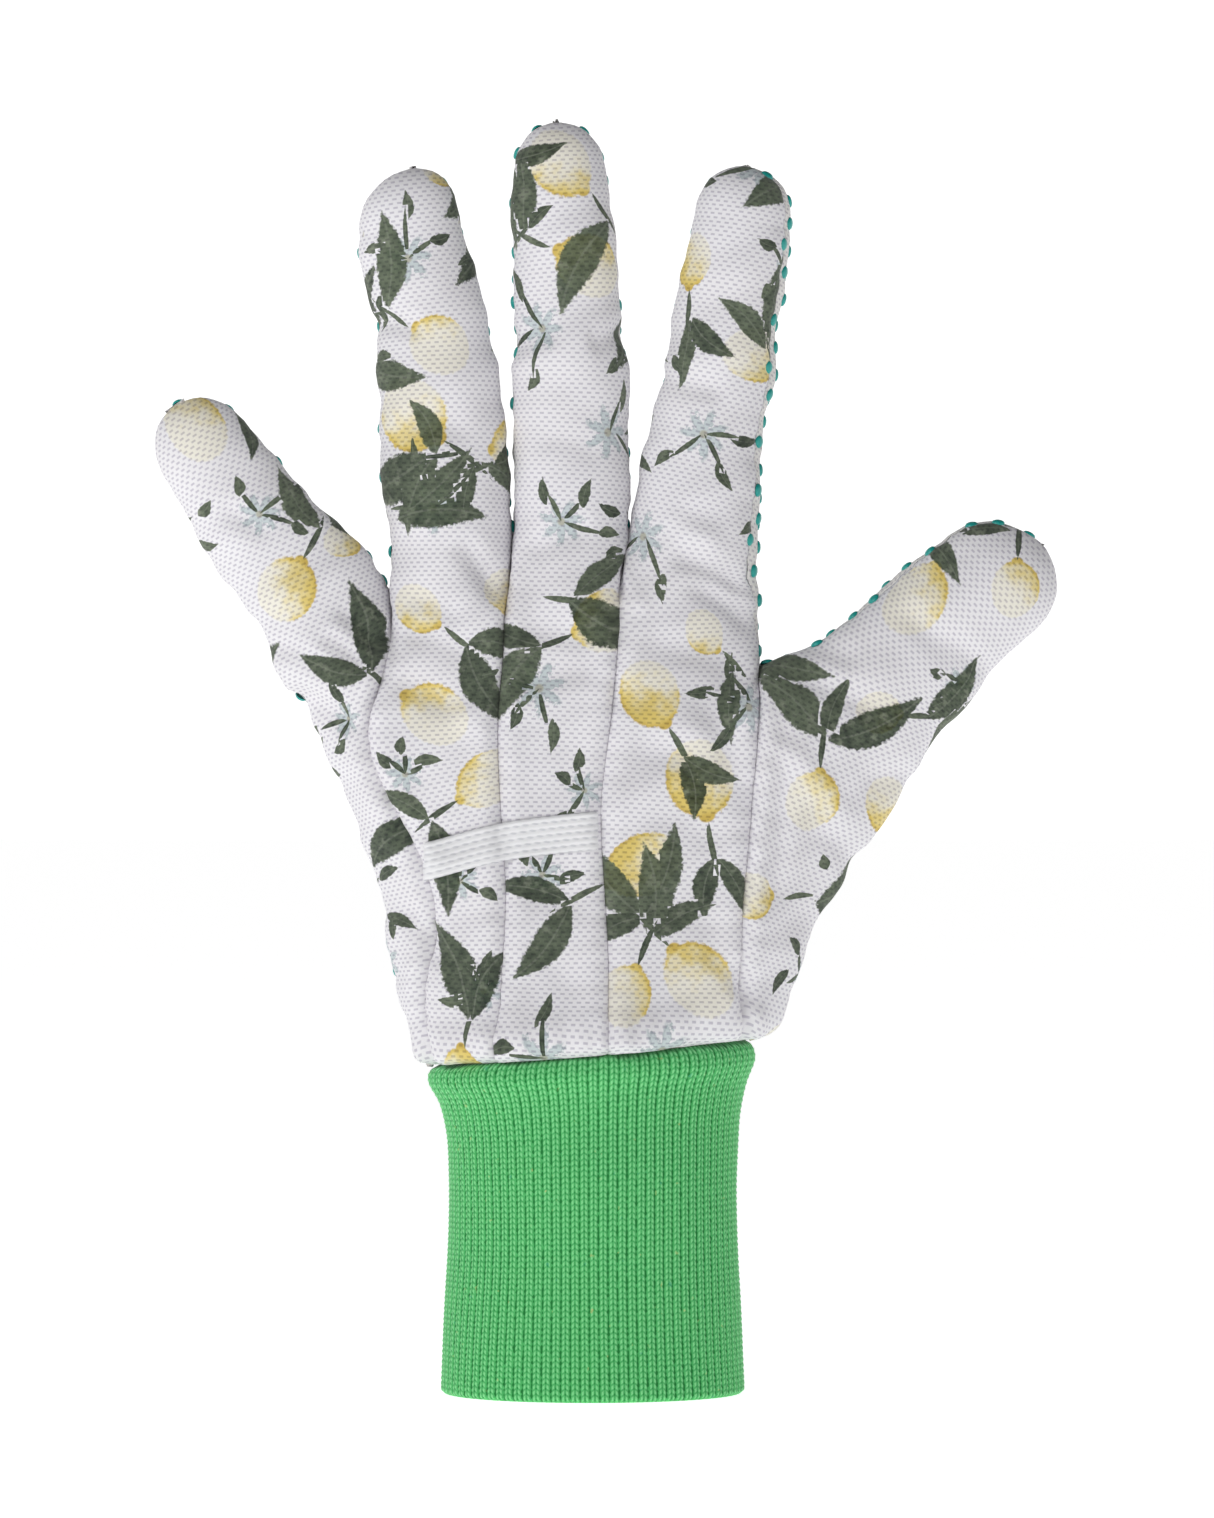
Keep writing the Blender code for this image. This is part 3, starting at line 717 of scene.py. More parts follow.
# %% Sewing the surfaces
VALLEY_DEPTH = 0.65
VALLEY_WIDTH = 0.9
SHOULDER_HEIGHT = 0.6
PUCKER_SPACING = 4.7
PUCKER_HEIGHT = 0.3
SEAM_DROOP = 1.4              # the cloth hangs over its seam to the cuff
ALLOWANCE = 2.2               # seam allowance turned in behind the edge
ALLOWANCE_SHIFT = 0.3         # and across the gap between two pieces


def sew(digit, side_name):
    """Displace a side of a digit. Returns its points, with the turned allowances as outer columns,
    and where each point lies on the flat cloth: (across, along)."""
    points, v, edge_depths = surfaces[digit, side_name]
    spine = spines[digit]
    normals = grid_normals(points, side_name)
    arc = arc_lengths(points)
    width = arc[:, -1:]
    x, y, z = points[..., 0], points[..., 1], points[..., 2]
    seed = 7.3 * DIGIT_NAMES.index(digit) + (31.0 if side_name == "front" else 0.0)
    offset = np.zeros_like(x)
    outward = row_outward(points, side_name)
    upright = np.zeros_like(x)
    sides = []
    for edge in (0, -1):
        at_side = ease((3.2 - np.abs(edge_depths[:, edge, None])) / 2.6)
        sides.append(at_side)
        distance = arc if edge == 0 else width - arc
        shared = 1 - 0.75 * at_side
        if side_name == "front" and digit != "thumb":
            free_side = (digit == "little" and edge == 0) or (digit == "index" and edge == -1)
            shared = 0.25 if free_side else 0.25 * at_side
        offset -= shared * VALLEY_DEPTH * np.exp(-distance / VALLEY_WIDTH)
        offset += shared * SHOULDER_HEIGHT * np.exp(-((distance - 3.4) / 2.4) ** 2)
        upright = np.maximum(upright, (1 - at_side) * np.exp(-(distance / 1.6) ** 2))
        pucker = np.sin(2 * np.pi * v / PUCKER_SPACING + seed + 2.0 * np.sin(v / 17.0))
        offset += np.minimum(1, shared + 0.3) * PUCKER_HEIGHT * pucker * np.exp(-distance / 3.0)
    height = above_wrist(x, z)
    gather = np.sin(2 * np.pi * (x / 6.3 + 0.4 * np.sin(x / 9.0)) + seed)
    offset += -1.5 * np.exp(-np.maximum(height, 0) / 1.0) + 1.5 * np.exp(-((height - 4.5) / 3.6) ** 2)
    offset += 0.35 * gather * np.exp(-((height - 3.5) / 3.5) ** 2)
    calm = np.clip((spine.length - v) / 25.0, 0.25, 1.0)
    offset += calm * (1.0 * rumple(points, 19.0, seed) + 0.42 * rumple(points, 7.5, seed + 5))
    dragged = np.stack([x * 0.3 + z * 0.14, y * 0.5, z - 0.45 * x], axis=-1)
    offset += calm * 0.95 * rumple(dragged, 7.0, seed + 9)
    if side_name == "back":
        offset -= crease_depth(x, z)
    away = normals * (1 - upright[..., None]) + outward * upright[..., None]
    sewn = points + away * offset[..., None]
    sewn[..., 2] -= SEAM_DROOP * np.exp(-((height - 2.5) / 2.5) ** 2)
    if side_name == "front" and digit in FINGER_NAMES:
        for edge, neighbours in ((0, digit != "little"), (-1, digit != "index")):
            if neighbours:
                below = slice(0, HAND_ROWS + 1)
                sewn[below, edge] = points[below, edge]
    middle = COLUMNS // 2
    centre_a = np.einsum("ij,ij->i", points[:, middle][:, [0, 2]] - spine.centre(v[:, middle]),
                         spine.across(v[:, middle]))[:, None]
    across = centre_a + arc - arc[:, middle:middle + 1]
    flats = np.stack([across, v], axis=-1)
    return sewn, flats, sides


sewn = {key: sew(*key) for key in surfaces}
print("sewn", len(sewn), "surfaces")

# %% Close the seams
PULLED_COLUMNS = 5            # columns beside a seam that follow it


def pull(points, edge, shift):
    """Move one edge of a grid, and its next columns less and less."""
    for column in range(PULLED_COLUMNS):
        index = column if edge == 0 else -1 - column
        points[:len(shift), index] += shift * (1 - column / PULLED_COLUMNS) ** 2


def nearest_on(line, point):
    """The nearest point of a line of points."""
    start, run = line[:-1], np.diff(line, axis=0)
    share = np.einsum("ij,ij->i", point - start, run) / (np.einsum("ij,ij->i", run, run) + 1e-9)
    found = start + run * np.clip(share, 0, 1)[:, None]
    return found[np.linalg.norm(found - point, axis=1).argmin()]


def close_seams():
    """Neighbouring strips meet in the hand; back and front meet at the sides of every digit."""
    for side_name in ("front", "back"):
        for left_digit, right_digit in zip(FINGER_NAMES, FINGER_NAMES[1:]):
            left_points, right_points = sewn[left_digit, side_name][0], sewn[right_digit, side_name][0]
            gap = (right_points[:, 0][:HAND_ROWS + 1] - left_points[:, -1][:HAND_ROWS + 1]) / 2
            pull(left_points, -1, gap)
            pull(right_points, 0, -gap)
        points, _, sides = sewn["thumb", side_name]
        line = sewn["index", side_name][0][:, -1]
        towards = np.array([nearest_on(line, point) for point in points[:, 0]])
        pull(points, 0, (towards - points[:, 0]) * (1 - sides[0]))
    for digit in DIGIT_NAMES:
        back, front = sewn[digit, "back"][0], sewn[digit, "front"][0]
        for edge, weight in zip((0, -1), sewn[digit, "back"][2]):
            gap = (front[:, edge] - back[:, edge]) / 2 * weight
            pull(back, edge, gap)
            pull(front, edge, -gap)


close_seams()
print("seams closed")


# %% Turned seam allowances
def with_allowances(digit, side_name):
    """The sewn points and their places on the flat cloth, with one more column turned in at each edge.

    In the hand the allowance goes down between two strips; at a finger's side it turns in under the cloth.
    """
    points, flats, sides = sewn[digit, side_name]
    outward = row_outward(points, side_name)[:, 0]
    columns, places = [points], [flats]
    for edge, at_side in zip((0, -1), sides):
        chord = points[:, -1] - points[:, 0]
        chord /= np.linalg.norm(chord, axis=1, keepdims=True) + 1e-9
        beyond = -chord if edge == 0 else chord
        shared = -outward * ALLOWANCE + beyond * ALLOWANCE_SHIFT
        free = -beyond * ALLOWANCE - outward * ALLOWANCE_SHIFT
        turned = points[:, edge] + shared * (1 - at_side) + free * at_side
        place = flats[:, edge] + np.array([-1.0 if edge == 0 else 1.0, 0.0]) * ALLOWANCE
        columns.insert(0 if edge == 0 else len(columns), turned[:, None])
        places.insert(0 if edge == 0 else len(places), place[:, None])
    return np.concatenate(columns, axis=1), np.concatenate(places, axis=1)


cloth = {key: with_allowances(*key) for key in sewn}

# %% [markdown]
# ## The print
# The cotton is printed before it is cut: lemons, sprigs of dark leaves and pale blossoms, scattered and
# cut through by the seams. A printed cotton like this is laid out in staggered rows, so a rule lays it
# here: every place in a row gets a fruit or a blossom, strayed and turned by a seeded draw, with its
# leaves fanned round it. Placing each motif by hand would fix the print to one size of glove, while a
# rule covers whatever cloth there is. For every face the nearest motif of each kind is found, and the
# face's corners keep where they lie on that motif, in its own directions. The material draws the outline
# from those places, so its edge is crisp at any mesh size.

# %% How the print is laid out
PRINT_SEED = 5
ROW_PITCH = 19.0              # from one row of the print to the next
PLACE_PITCH = 21.0            # from one place to the next in a row; odd rows move on by half of it
STRAY = 4.5                   # how far a fruit or blossom lies from its place
LEMON_LENGTHS = (10.0, 18.0)
LEMON_SLENDER = (0.68, 0.92)  # width over length
BLOSSOM_SIZES = (8.0, 13.5)
LEAF_LENGTHS = (12.0, 23.0)
LEAF_SLENDER = (0.27, 0.42)
FRUIT_SHARE = 0.58            # how many of the places carry a fruit
LEAF_FAN = 62.0               # degrees between neighbouring leaves of a fruit
STEM_WIDTH = 1.3
TWIG_WIDTH = 1.1
TWIG_FAN = 68.0               # degrees between neighbouring twigs under a blossom
SMALL_LEAF_WIDTH = 2.4


def heading(angle):
    """The direction of an angle in degrees on the flat cloth."""
    return np.array([math.cos(math.radians(angle)), math.sin(math.radians(angle))])


def print_places():
    """The staggered places of the print that cover the back of the glove."""
    backs = np.concatenate([sewn[digit, "back"][0].reshape(-1, 3) for digit in DIGIT_NAMES])
    low, high = backs[:, [0, 2]].min(axis=0), backs[:, [0, 2]].max(axis=0)
    places = []
    for row in range(int((high[1] - low[1]) / ROW_PITCH) + 2):
        start = low[0] - (row % 2) * PLACE_PITCH / 2
        for column in range(int((high[0] - start) / PLACE_PITCH) + 2):
            places.append((start + column * PLACE_PITCH, low[1] + row * ROW_PITCH))
    return places


def fruit(draw, place):
    """A lemon, its stem, and two or three leaves fanned from the stem's end."""
    angle = draw.uniform(0.0, 360.0)
    length = draw.uniform(*LEMON_LENGTHS)
    lemon = (*place, length, length * draw.uniform(*LEMON_SLENDER), angle, draw.uniform(0.1, 0.9))
    stem_length = 0.8 * length
    stem = (*(place + heading(angle) * (length + stem_length) / 2), stem_length, STEM_WIDTH, angle)
    fork = place + heading(angle) * (length / 2 + 0.6 * stem_length)
    leaves = []
    count = int(draw.integers(2, 4))
    for number in range(count):
        turned = angle + LEAF_FAN * (number - (count - 1) / 2) + draw.uniform(-14.0, 14.0)
        reach = draw.uniform(*LEAF_LENGTHS)
        middle = fork + heading(turned) * reach / 2
        leaves.append((*middle, reach, reach * draw.uniform(*LEAF_SLENDER), turned))
    return lemon, stem, leaves


def twigs_round(draw, place, size):
    """Three thin twigs that fan out from under a blossom, each ending in a small leaf."""
    start = draw.uniform(0.0, 360.0)
    twigs = []
    for branch in range(3):
        angle = start + TWIG_FAN * (branch - 1) + draw.uniform(-16.0, 16.0)
        reach = size * draw.uniform(0.6, 1.0)
        twigs.append((*(place + heading(angle) * reach / 2), reach, TWIG_WIDTH, angle))
        small = angle + draw.uniform(-30.0, 30.0)
        length = size * draw.uniform(0.45, 0.8)
        twigs.append((*(place + heading(angle) * reach), length, SMALL_LEAF_WIDTH, small))
    return twigs


def lay_out_print():
    """The motifs by kind.

    Leaf: x, z, length, width and angle. Lemon: the same, then paleness. Blossom: x, z and size.
    """
    draw = np.random.default_rng(PRINT_SEED)
    motifs = {"leaf": [], "lemon": [], "blossom": []}
    for x, z in print_places():
        place = np.array([x, z]) + draw.uniform(-STRAY, STRAY, 2)
        if draw.random() < FRUIT_SHARE:
            lemon, stem, leaves = fruit(draw, place)
            motifs["lemon"].append(lemon)
            motifs["leaf"] += [*leaves, stem]
        else:
            size = draw.uniform(*BLOSSOM_SIZES)
            motifs["blossom"].append((*place, size))
            motifs["leaf"] += twigs_round(draw, place, size)
    return motifs


MOTIFS = lay_out_print()
print({kind: len(found) for kind, found in MOTIFS.items()}, "motifs laid out")


# %% Which digit's cloth a motif is printed on
def flat_place(digit, places):
    """Places on the flat cloth as (x, z), as if the strip were pressed flat where it lies."""
    spine = spines[digit]
    return spine.centre(places[..., 1]) + spine.across(places[..., 1]) * places[..., :1]


def printed_digits():
    """A search tree over the back's points, and the digit and flat (x, z) of each."""
    entries = []
    for digit in DIGIT_NAMES:
        points, flats, _ = sewn[digit, "back"]
        spread = flat_place(digit, flats)
        for point, place in zip(points.reshape(-1, 3), spread.reshape(-1, 2)):
            entries.append((point[0], point[2], digit, place))
    tree = KDTree(len(entries))
    for number, (x, z, _, _) in enumerate(entries):
        tree.insert((x, z, 0.0), number)
    tree.balance()
    return tree, entries


PRINT_TREE, PRINT_POINTS = printed_digits()


def settle(motifs):
    """Motifs by digit, moved to the flat cloth. One that lies wholly beside the cloth is left out."""
    found = {digit: [] for digit in DIGIT_NAMES}
    for x, z, *rest in motifs:
        _, number, distance = PRINT_TREE.find((x, z, 0.0))
        if distance > rest[0] / 2:
            continue
        px, pz, digit, place = PRINT_POINTS[number]
        found[digit].append((place[0] + x - px, place[1] + z - pz, *rest))
    return found


LEAF_BEND = 0.5               # how far a leaf's midrib bows, in half widths


def leaf_edge(along):
    """Half width of a leaf from its stalk (-1) to its tip (+1), as a share of the widest."""
    return np.clip(1 - along ** 2, 0, 1) * (1 - 0.32 * along)


def nearest_motif(centres, corners, motifs, kind):
    """For every face the local place of its corners on the nearest motif: (along, across, tone)."""
    best = np.full(len(centres), 9e9)
    result = np.full((*corners.shape[:2], 3), 9.0)
    for number, motif in enumerate(motifs):
        x, z, length = motif[:3]
        width = motif[3] if kind != "blossom" else length
        angle = math.radians(motif[4]) if kind != "blossom" else 1.7 * number
        tone = motif[5] if kind == "lemon" else (0.37 * number) % 1.0
        turn = np.array([[math.cos(angle), -math.sin(angle)], [math.sin(angle), math.cos(angle)]])
        scale = np.array([length, width]) / 2

        def local(places):
            found = ((places - np.array([x, z])) @ turn) / scale
            if kind == "leaf":
                bow = LEAF_BEND * (1 if number % 2 else -1) * (1 - np.clip(found[..., 0], -1, 1) ** 2)
                found = np.stack([found[..., 0], found[..., 1] + bow], axis=-1)
            return found

        middle = local(centres)
        if kind == "leaf":
            reach = np.abs(middle[:, 1]) / (leaf_edge(middle[:, 0]) + 0.05)
            reach = np.where(np.abs(middle[:, 0]) < 1, reach, 2 * np.abs(middle[:, 0]) + reach * 0.05)
        else:
            reach = np.linalg.norm(middle, axis=1)
        nearer = reach < best
        best[nearer] = reach[nearer]
        result[nearer, :, :2] = local(corners[nearer])
        result[nearer, :, 2] = tone
    return result


settled = {kind: settle(found) for kind, found in MOTIFS.items()}
print({kind: {digit: len(found) for digit, found in places.items()} for kind, places in settled.items()})


# %% [markdown]
# ## From surfaces to pieces of cloth
# A piece of cloth can bend over one joint only, so each finger's back is two pieces that meet between the
# knuckles and the finger's bend, with the same points along the cut. The palm is one cloth, welded from
# four fields, with the lower fronts of the fingers as its prongs. Each sheet is thickened inwards.

# %% Meshes with places for the weave and the print
KINDS = ("leaf", "lemon", "blossom")


def thicken(piece, thickness=CLOTH):
    """Give a sheet its thickness on the inside, and keep the result as a plain mesh."""
    solid = piece.modifiers.new("cloth", "SOLIDIFY")
    solid.thickness = thickness * MM
    solid.offset = -1.0
    solid.material_offset = 1
    solid.material_offset_rim = 0
    graph = bpy.context.evaluated_depsgraph_get()
    mesh = bpy.data.meshes.new_from_object(piece.evaluated_get(graph))
    piece.modifiers.clear()
    piece.data = mesh
    mesh.name = piece.name
    return piece


def sheet_object(name, parts, printed):
    """One object from several grids. parts: (digit, points, places, kept faces or None)."""
    points, faces, weave, prints = [], [], [], {kind: [] for kind in KINDS}
    for digit, grid, places, keep in parts:
        rows, columns = grid.shape[:2]
        quads = np.array(grid_faces(rows, columns))
        if keep is not None:
            quads = quads[keep.reshape(-1)]
        corners = places.reshape(-1, 2)[quads]
        spread = flat_place(digit, places).reshape(-1, 2)[quads]
        weave.append(corners if printed else spread)
        if printed:
            for kind in KINDS:
                prints[kind].append(nearest_motif(spread.mean(axis=1), spread, settled[kind][digit], kind))
        faces.append(quads + sum(len(part) for part in points))
        points.append(grid.reshape(-1, 3))
    mesh = mesh_from(name, np.concatenate(points), np.concatenate(faces).tolist())
    uv = mesh.uv_layers.new(name="weave")
    uv.data.foreach_set("uv", np.concatenate(weave).astype(np.float32).ravel())
    if printed:
        for kind in KINDS:
            layer = mesh.attributes.new(kind, "FLOAT_VECTOR", "CORNER")
            layer.data.foreach_set("vector", np.concatenate(prints[kind]).astype(np.float32).ravel())
    return add_object(name, mesh)


def smooth_ends(piece, points, side_name, first, last):
    """Shade a thickened piece by the whole digit's surface, so that it runs on into the next piece."""
    outer = grid_normals(points, side_name)[first:last + 1].reshape(-1, 3)
    piece.data.normals_split_custom_set_from_vertices(np.concatenate([outer, -outer]).tolist())


def face_outwards(piece, outward_y):
    """Turn all faces of a sheet so that they look out of the glove."""
    total = sum(face.normal.y * face.area for face in piece.data.polygons)
    if total * outward_y < 0:
        piece.data.flip_normals()


# %% Cut the sheets into pieces
def grid_part(digit, side_name, first, last, keep=None):
    points, places = cloth[digit, side_name]
    return digit, points[first:last + 1], places[first:last + 1], keep


def palm_faces(digit, rows):
    """The faces of a palm field to keep: no turned allowance where two fields are one cloth."""
    keep = np.ones((rows - 1, COLUMNS + 2), bool)
    if digit != "little":
        keep[:HAND_ROWS, 0] = False
    if digit != "index":
        keep[:HAND_ROWS, -1] = False
    return keep


pieces = {}
for digit in FINGER_NAMES:
    ends, split = ROWS[digit]
    last = len(ends) - 1
    name = f"{digit}_back_cloth"
    pieces[name] = sheet_object(name, [grid_part(digit, "back", 0, split)], True)
    for side_name in ("back", "front"):
        name = f"{digit}_{side_name}_tip_cloth"
        pieces[name] = sheet_object(name, [grid_part(digit, side_name, split, last)], side_name == "back")
for side_name in ("back", "front"):
    name = f"thumb_{side_name}_cloth"
    last = len(ROWS["thumb"][0]) - 1
    pieces[name] = sheet_object(name, [grid_part("thumb", side_name, 0, last)], side_name == "back")
palm_parts = []
for digit in FINGER_NAMES:
    split = ROWS[digit][1]
    palm_parts.append(grid_part(digit, "front", 0, split, palm_faces(digit, split + 1)))
pieces["palm_cloth"] = sheet_object("palm_cloth", palm_parts, False)

welded = bmesh.new()
welded.from_mesh(pieces["palm_cloth"].data)
bmesh.ops.remove_doubles(welded, verts=welded.verts, dist=0.01 * MM)
loose = [vertex for vertex in welded.verts if not vertex.link_faces]
bmesh.ops.delete(welded, geom=loose, context="VERTS")
welded.to_mesh(pieces["palm_cloth"].data)
welded.free()

for name, piece in pieces.items():
    face_outwards(piece, -1 if "back" in name else 1)
print(len(pieces), "pieces of cloth,", sum(len(piece.data.polygons) for piece in pieces.values()), "faces")

# %% [markdown]
# ## Finishes
# Every finish is procedural and measured in millimetres of cloth. The cotton is a white twill whose small
# holes, short dashes in staggered rows, are darkened as painted shade; the print is muted, as if washed
# once. The knit is a heather yarn with a few yellow and teal fibres; its raised legs get a painted
# highlight, and the gaps between the wales and the holes between its stitches get painted shade. The dots
# are soft PVC.

# %% Colours and nodes
def linear(colour):
    """An sRGB hex colour as linear red, green, blue and alpha."""
    values = [int(colour[start:start + 2], 16) / 255 for start in (0, 2, 4)]
    values = [value / 12.92 if value <= 0.04045 else ((value + 0.055) / 1.055) ** 2.4 for value in values]
    return values + [1.0]


def add(tree, kind, *values, named=None, **settings):
    """Add a node with its settings; each value, node or socket goes to the next input, None skips one."""
    node = tree.nodes.new("ShaderNode" + kind)
    for name, value in settings.items():
        setattr(node, name, value)
    pairs = list(zip(node.inputs, values))
    pairs += [(node.inputs[name], value) for name, value in (named or {}).items()]
    for socket, value in pairs:
        if isinstance(value, bpy.types.Node):
            value = value.outputs[0]
        if isinstance(value, bpy.types.NodeSocket):
            tree.links.new(value, socket)
        elif value is not None:
            socket.default_value = value
    return node


def finish(name, roughness, sheen=0.0, specular=0.3):
    """A new material: the material, its node tree and its shader."""
    material = bpy.data.materials.new(name)
    material.use_nodes = True
    shader = material.node_tree.nodes["Principled BSDF"]
    shader.inputs["Roughness"].default_value = roughness
    shader.inputs["Sheen Weight"].default_value = sheen
    shader.inputs["Specular IOR Level"].default_value = specular
    return material, material.node_tree, shader


print("white cotton is", np.round(linear("E9E8EA")[:3], 2), "in linear light")

# %% The weave of the cotton
DASH_STEP = 1.8
DASH_ROW = 0.9


def weave_mask(tree):
    """1 on the dashes of the weave, its small holes, 0 between them."""
    place = add(tree, "SeparateXYZ", add(tree, "UVMap", uv_map="weave"))
    rows = add(tree, "Math", place.outputs[1], DASH_ROW, operation="DIVIDE")
    whole = add(tree, "Math", rows, operation="FLOOR")
    steps = add(tree, "Math", place.outputs[0], DASH_STEP, operation="DIVIDE")
    shifted = add(tree, "Math", whole, 0.5, steps, operation="MULTIPLY_ADD")
    masks = []
    for value, start, end in ((shifted, 0.34, 0.18), (rows, 0.34, 0.12)):
        share = add(tree, "Math", value, operation="FRACT")
        off = add(tree, "Math", add(tree, "Math", share, 0.5, operation="SUBTRACT"), operation="ABSOLUTE")
        masks.append(add(tree, "MapRange", off, start, end, 0.0, 1.0, interpolation_type="SMOOTHSTEP"))
    return add(tree, "Math", masks[0], masks[1], operation="MULTIPLY")


def cloth_noise(tree, scale, detail=3.0):
    """Noise in the plane of the cloth; scale is in spots a millimetre."""
    place = add(tree, "UVMap", uv_map="weave")
    return add(tree, "TexNoise", named={"Vector": place, "Scale": scale, "Detail": detail})


def weave_onto(tree, shader, colour, dashes):
    """Darken a colour along the dashes, the weave's small holes, as painted shade, and press the weave into
    the surface.
    """
    # painted shade: a greyish violet darkens the colour in the weave's holes
    weave_hole_shade = add(tree, "MixRGB", 1.0, colour, linear("B9B4C4"), blend_type="MULTIPLY")
    share = add(tree, "Math", dashes, 0.62, operation="MULTIPLY")
    woven = add(tree, "MixRGB", share, colour, weave_hole_shade)
    bump = add(tree, "Bump", named={"Strength": 0.3, "Distance": 0.15 * MM, "Height": dashes})
    tree.links.new(woven.outputs[0], shader.inputs["Base Color"])
    tree.links.new(bump.outputs[0], shader.inputs["Normal"])


# %% The printed cotton
def leaf_print(tree, wobble):
    """Where leaves are printed, and their colour."""
    place = add(tree, "SeparateXYZ", add(tree, "Attribute", attribute_name="leaf").outputs[1])
    along, across, tone = place.outputs
    square = add(tree, "Math", along, along, operation="MULTIPLY")
    body = add(tree, "Math", 1.0, square, operation="SUBTRACT")
    taper = add(tree, "Math", along, -0.32, 1.0, operation="MULTIPLY_ADD")
    taper = add(tree, "Math", taper, 0.3, operation="MAXIMUM")
    edge = add(tree, "Math", body, taper, operation="MULTIPLY")
    side = add(tree, "Math", across, operation="ABSOLUTE")
    inside = add(tree, "Math", edge, side, operation="SUBTRACT")
    inside = add(tree, "Math", wobble, 0.5, inside, operation="MULTIPLY_ADD")
    mask = add(tree, "MapRange", inside, 0.17, 0.33, 0.0, 0.96, interpolation_type="SMOOTHSTEP")
    mottle = add(tree, "Math", tone, 0.3, cloth_noise(tree, 0.5, 5.0), operation="MULTIPLY_ADD")
    ink = add(tree, "MixRGB", add(tree, "MapRange", mottle, 0.35, 1.0), linear("1E2E1A"), linear("66725A"))
    pale_spots_and_leg_highlight = add(tree, "MapRange", cloth_noise(tree, 0.31, 3.0), 0.56, 0.72, 0.0, 0.55)
    ink = add(tree, "MixRGB", pale_spots_and_leg_highlight, ink, linear("8A917D"))
    vein = add(tree, "MapRange", side, 0.1, 0.02, 0.0, 0.35, interpolation_type="SMOOTHSTEP")
    ink = add(tree, "MixRGB", vein, ink, linear("818877"))
    return mask, ink


def lemon_print(tree, wobble):
    """Where lemons are printed, and their colour: a golden rim round a pale, streaky middle."""
    place = add(tree, "SeparateXYZ", add(tree, "Attribute", attribute_name="lemon").outputs[1])
    along, across, tone = place.outputs
    spot = add(tree, "CombineXYZ", along, across, 0.0)
    radius = add(tree, "VectorMath", spot, operation="LENGTH").outputs["Value"]
    radius = add(tree, "Math", wobble, -0.2, radius, operation="MULTIPLY_ADD")
    body = add(tree, "MapRange", radius, 0.9, 0.82, 0.0, 1.0, interpolation_type="SMOOTHSTEP")
    tip = add(tree, "Math", along, 0.92, operation="SUBTRACT")
    tip = add(tree, "CombineXYZ", add(tree, "Math", tip, 5.5, operation="MULTIPLY"),
              add(tree, "Math", across, 4.0, operation="MULTIPLY"), 0.0)
    tip = add(tree, "VectorMath", tip, operation="LENGTH").outputs["Value"]
    tip = add(tree, "MapRange", tip, 1.1, 0.8, 0.0, 1.0, interpolation_type="SMOOTHSTEP")
    shape = add(tree, "Math", body, tip, operation="MAXIMUM")
    lit = add(tree, "Math", along, 0.55, add(tree, "Math", across, -0.45, operation="MULTIPLY"),
              operation="MULTIPLY_ADD")
    lit = add(tree, "Math", cloth_noise(tree, 0.35, 6.0), 1.3, lit, operation="MULTIPLY_ADD")
    lit = add(tree, "Math", tone, -0.7, lit, operation="MULTIPLY_ADD")
    rich = add(tree, "MapRange", lit, 0.0, 1.1, 0.0, 1.0, interpolation_type="SMOOTHSTEP")
    rim = add(tree, "MapRange", radius, 0.7, 0.86, 0.0, 0.75, interpolation_type="SMOOTHSTEP")
    rich = add(tree, "Math", rich, add(tree, "Math", rim, rich, operation="MULTIPLY"), operation="ADD")
    ink = add(tree, "MixRGB", add(tree, "MapRange", rich, 0.0, 1.0), linear("EBE5C6"), linear("DCC469"))
    ink = add(tree, "MixRGB", add(tree, "MapRange", rich, 1.0, 1.8), ink, linear("C6A94C"))
    cover = add(tree, "MapRange", rich, 0.0, 0.6, 0.45, 0.97)
    return add(tree, "Math", shape, cover, operation="MULTIPLY"), ink


def blossom_print(tree, wobble):
    """Where blossoms are printed: thin, uneven petals round a small dull eye."""
    place = add(tree, "SeparateXYZ", add(tree, "Attribute", attribute_name="blossom").outputs[1])
    along, across, _ = place.outputs
    radius = add(tree, "VectorMath", add(tree, "CombineXYZ", along, across, 0.0), operation="LENGTH")
    radius = radius.outputs["Value"]
    angle = add(tree, "Math", across, along, operation="ARCTAN2")
    twist = add(tree, "Math", angle, 3.5, add(tree, "Math", wobble, 2.4, operation="MULTIPLY"),
                operation="MULTIPLY_ADD")
    wave = add(tree, "Math", twist, operation="COSINE")
    petal = add(tree, "Math", add(tree, "Math", wave, operation="ABSOLUTE"), 1.4, operation="POWER")
    edge = add(tree, "Math", petal, 0.6, 0.28, operation="MULTIPLY_ADD")
    inside = add(tree, "Math", edge, radius, operation="SUBTRACT")
    inside = add(tree, "Math", wobble, 0.7, inside, operation="MULTIPLY_ADD")
    mask = add(tree, "MapRange", inside, 0.2, 0.48, 0.0, 0.75, interpolation_type="SMOOTHSTEP")
    rim = add(tree, "MapRange", inside, 0.55, 0.4, 0.0, 1.0, interpolation_type="SMOOTHSTEP")
    ink = add(tree, "MixRGB", rim, linear("B9C6C8"), linear("93A5A8"))
    eye = add(tree, "MapRange", radius, 0.2, 0.1, 0.0, 0.8, interpolation_type="SMOOTHSTEP")
    return mask, add(tree, "MixRGB", eye, ink, linear("94906A"))


def make_print():
    material, tree, shader = finish("printed_cotton", 0.88, sheen=0.15, specular=0.2)
    colour = add(tree, "MixRGB", cloth_noise(tree, 0.05, 2.0), linear("EAE9ED"), linear("E2E0E2"))
    wobble = cloth_noise(tree, 1.3, 4.0)
    for drawn in (blossom_print, lemon_print, leaf_print):
        mask, ink = drawn(tree, wobble)
        colour = add(tree, "MixRGB", mask, colour, ink)
    weave_onto(tree, shader, colour, weave_mask(tree))
    return material


def make_plain(name, colour, other):
    material, tree, shader = finish(name, 0.88, sheen=0.15, specular=0.2)
    ground = add(tree, "MixRGB", cloth_noise(tree, 0.08, 3.0), linear(colour), linear(other))
    weave_onto(tree, shader, ground, weave_mask(tree))
    return material


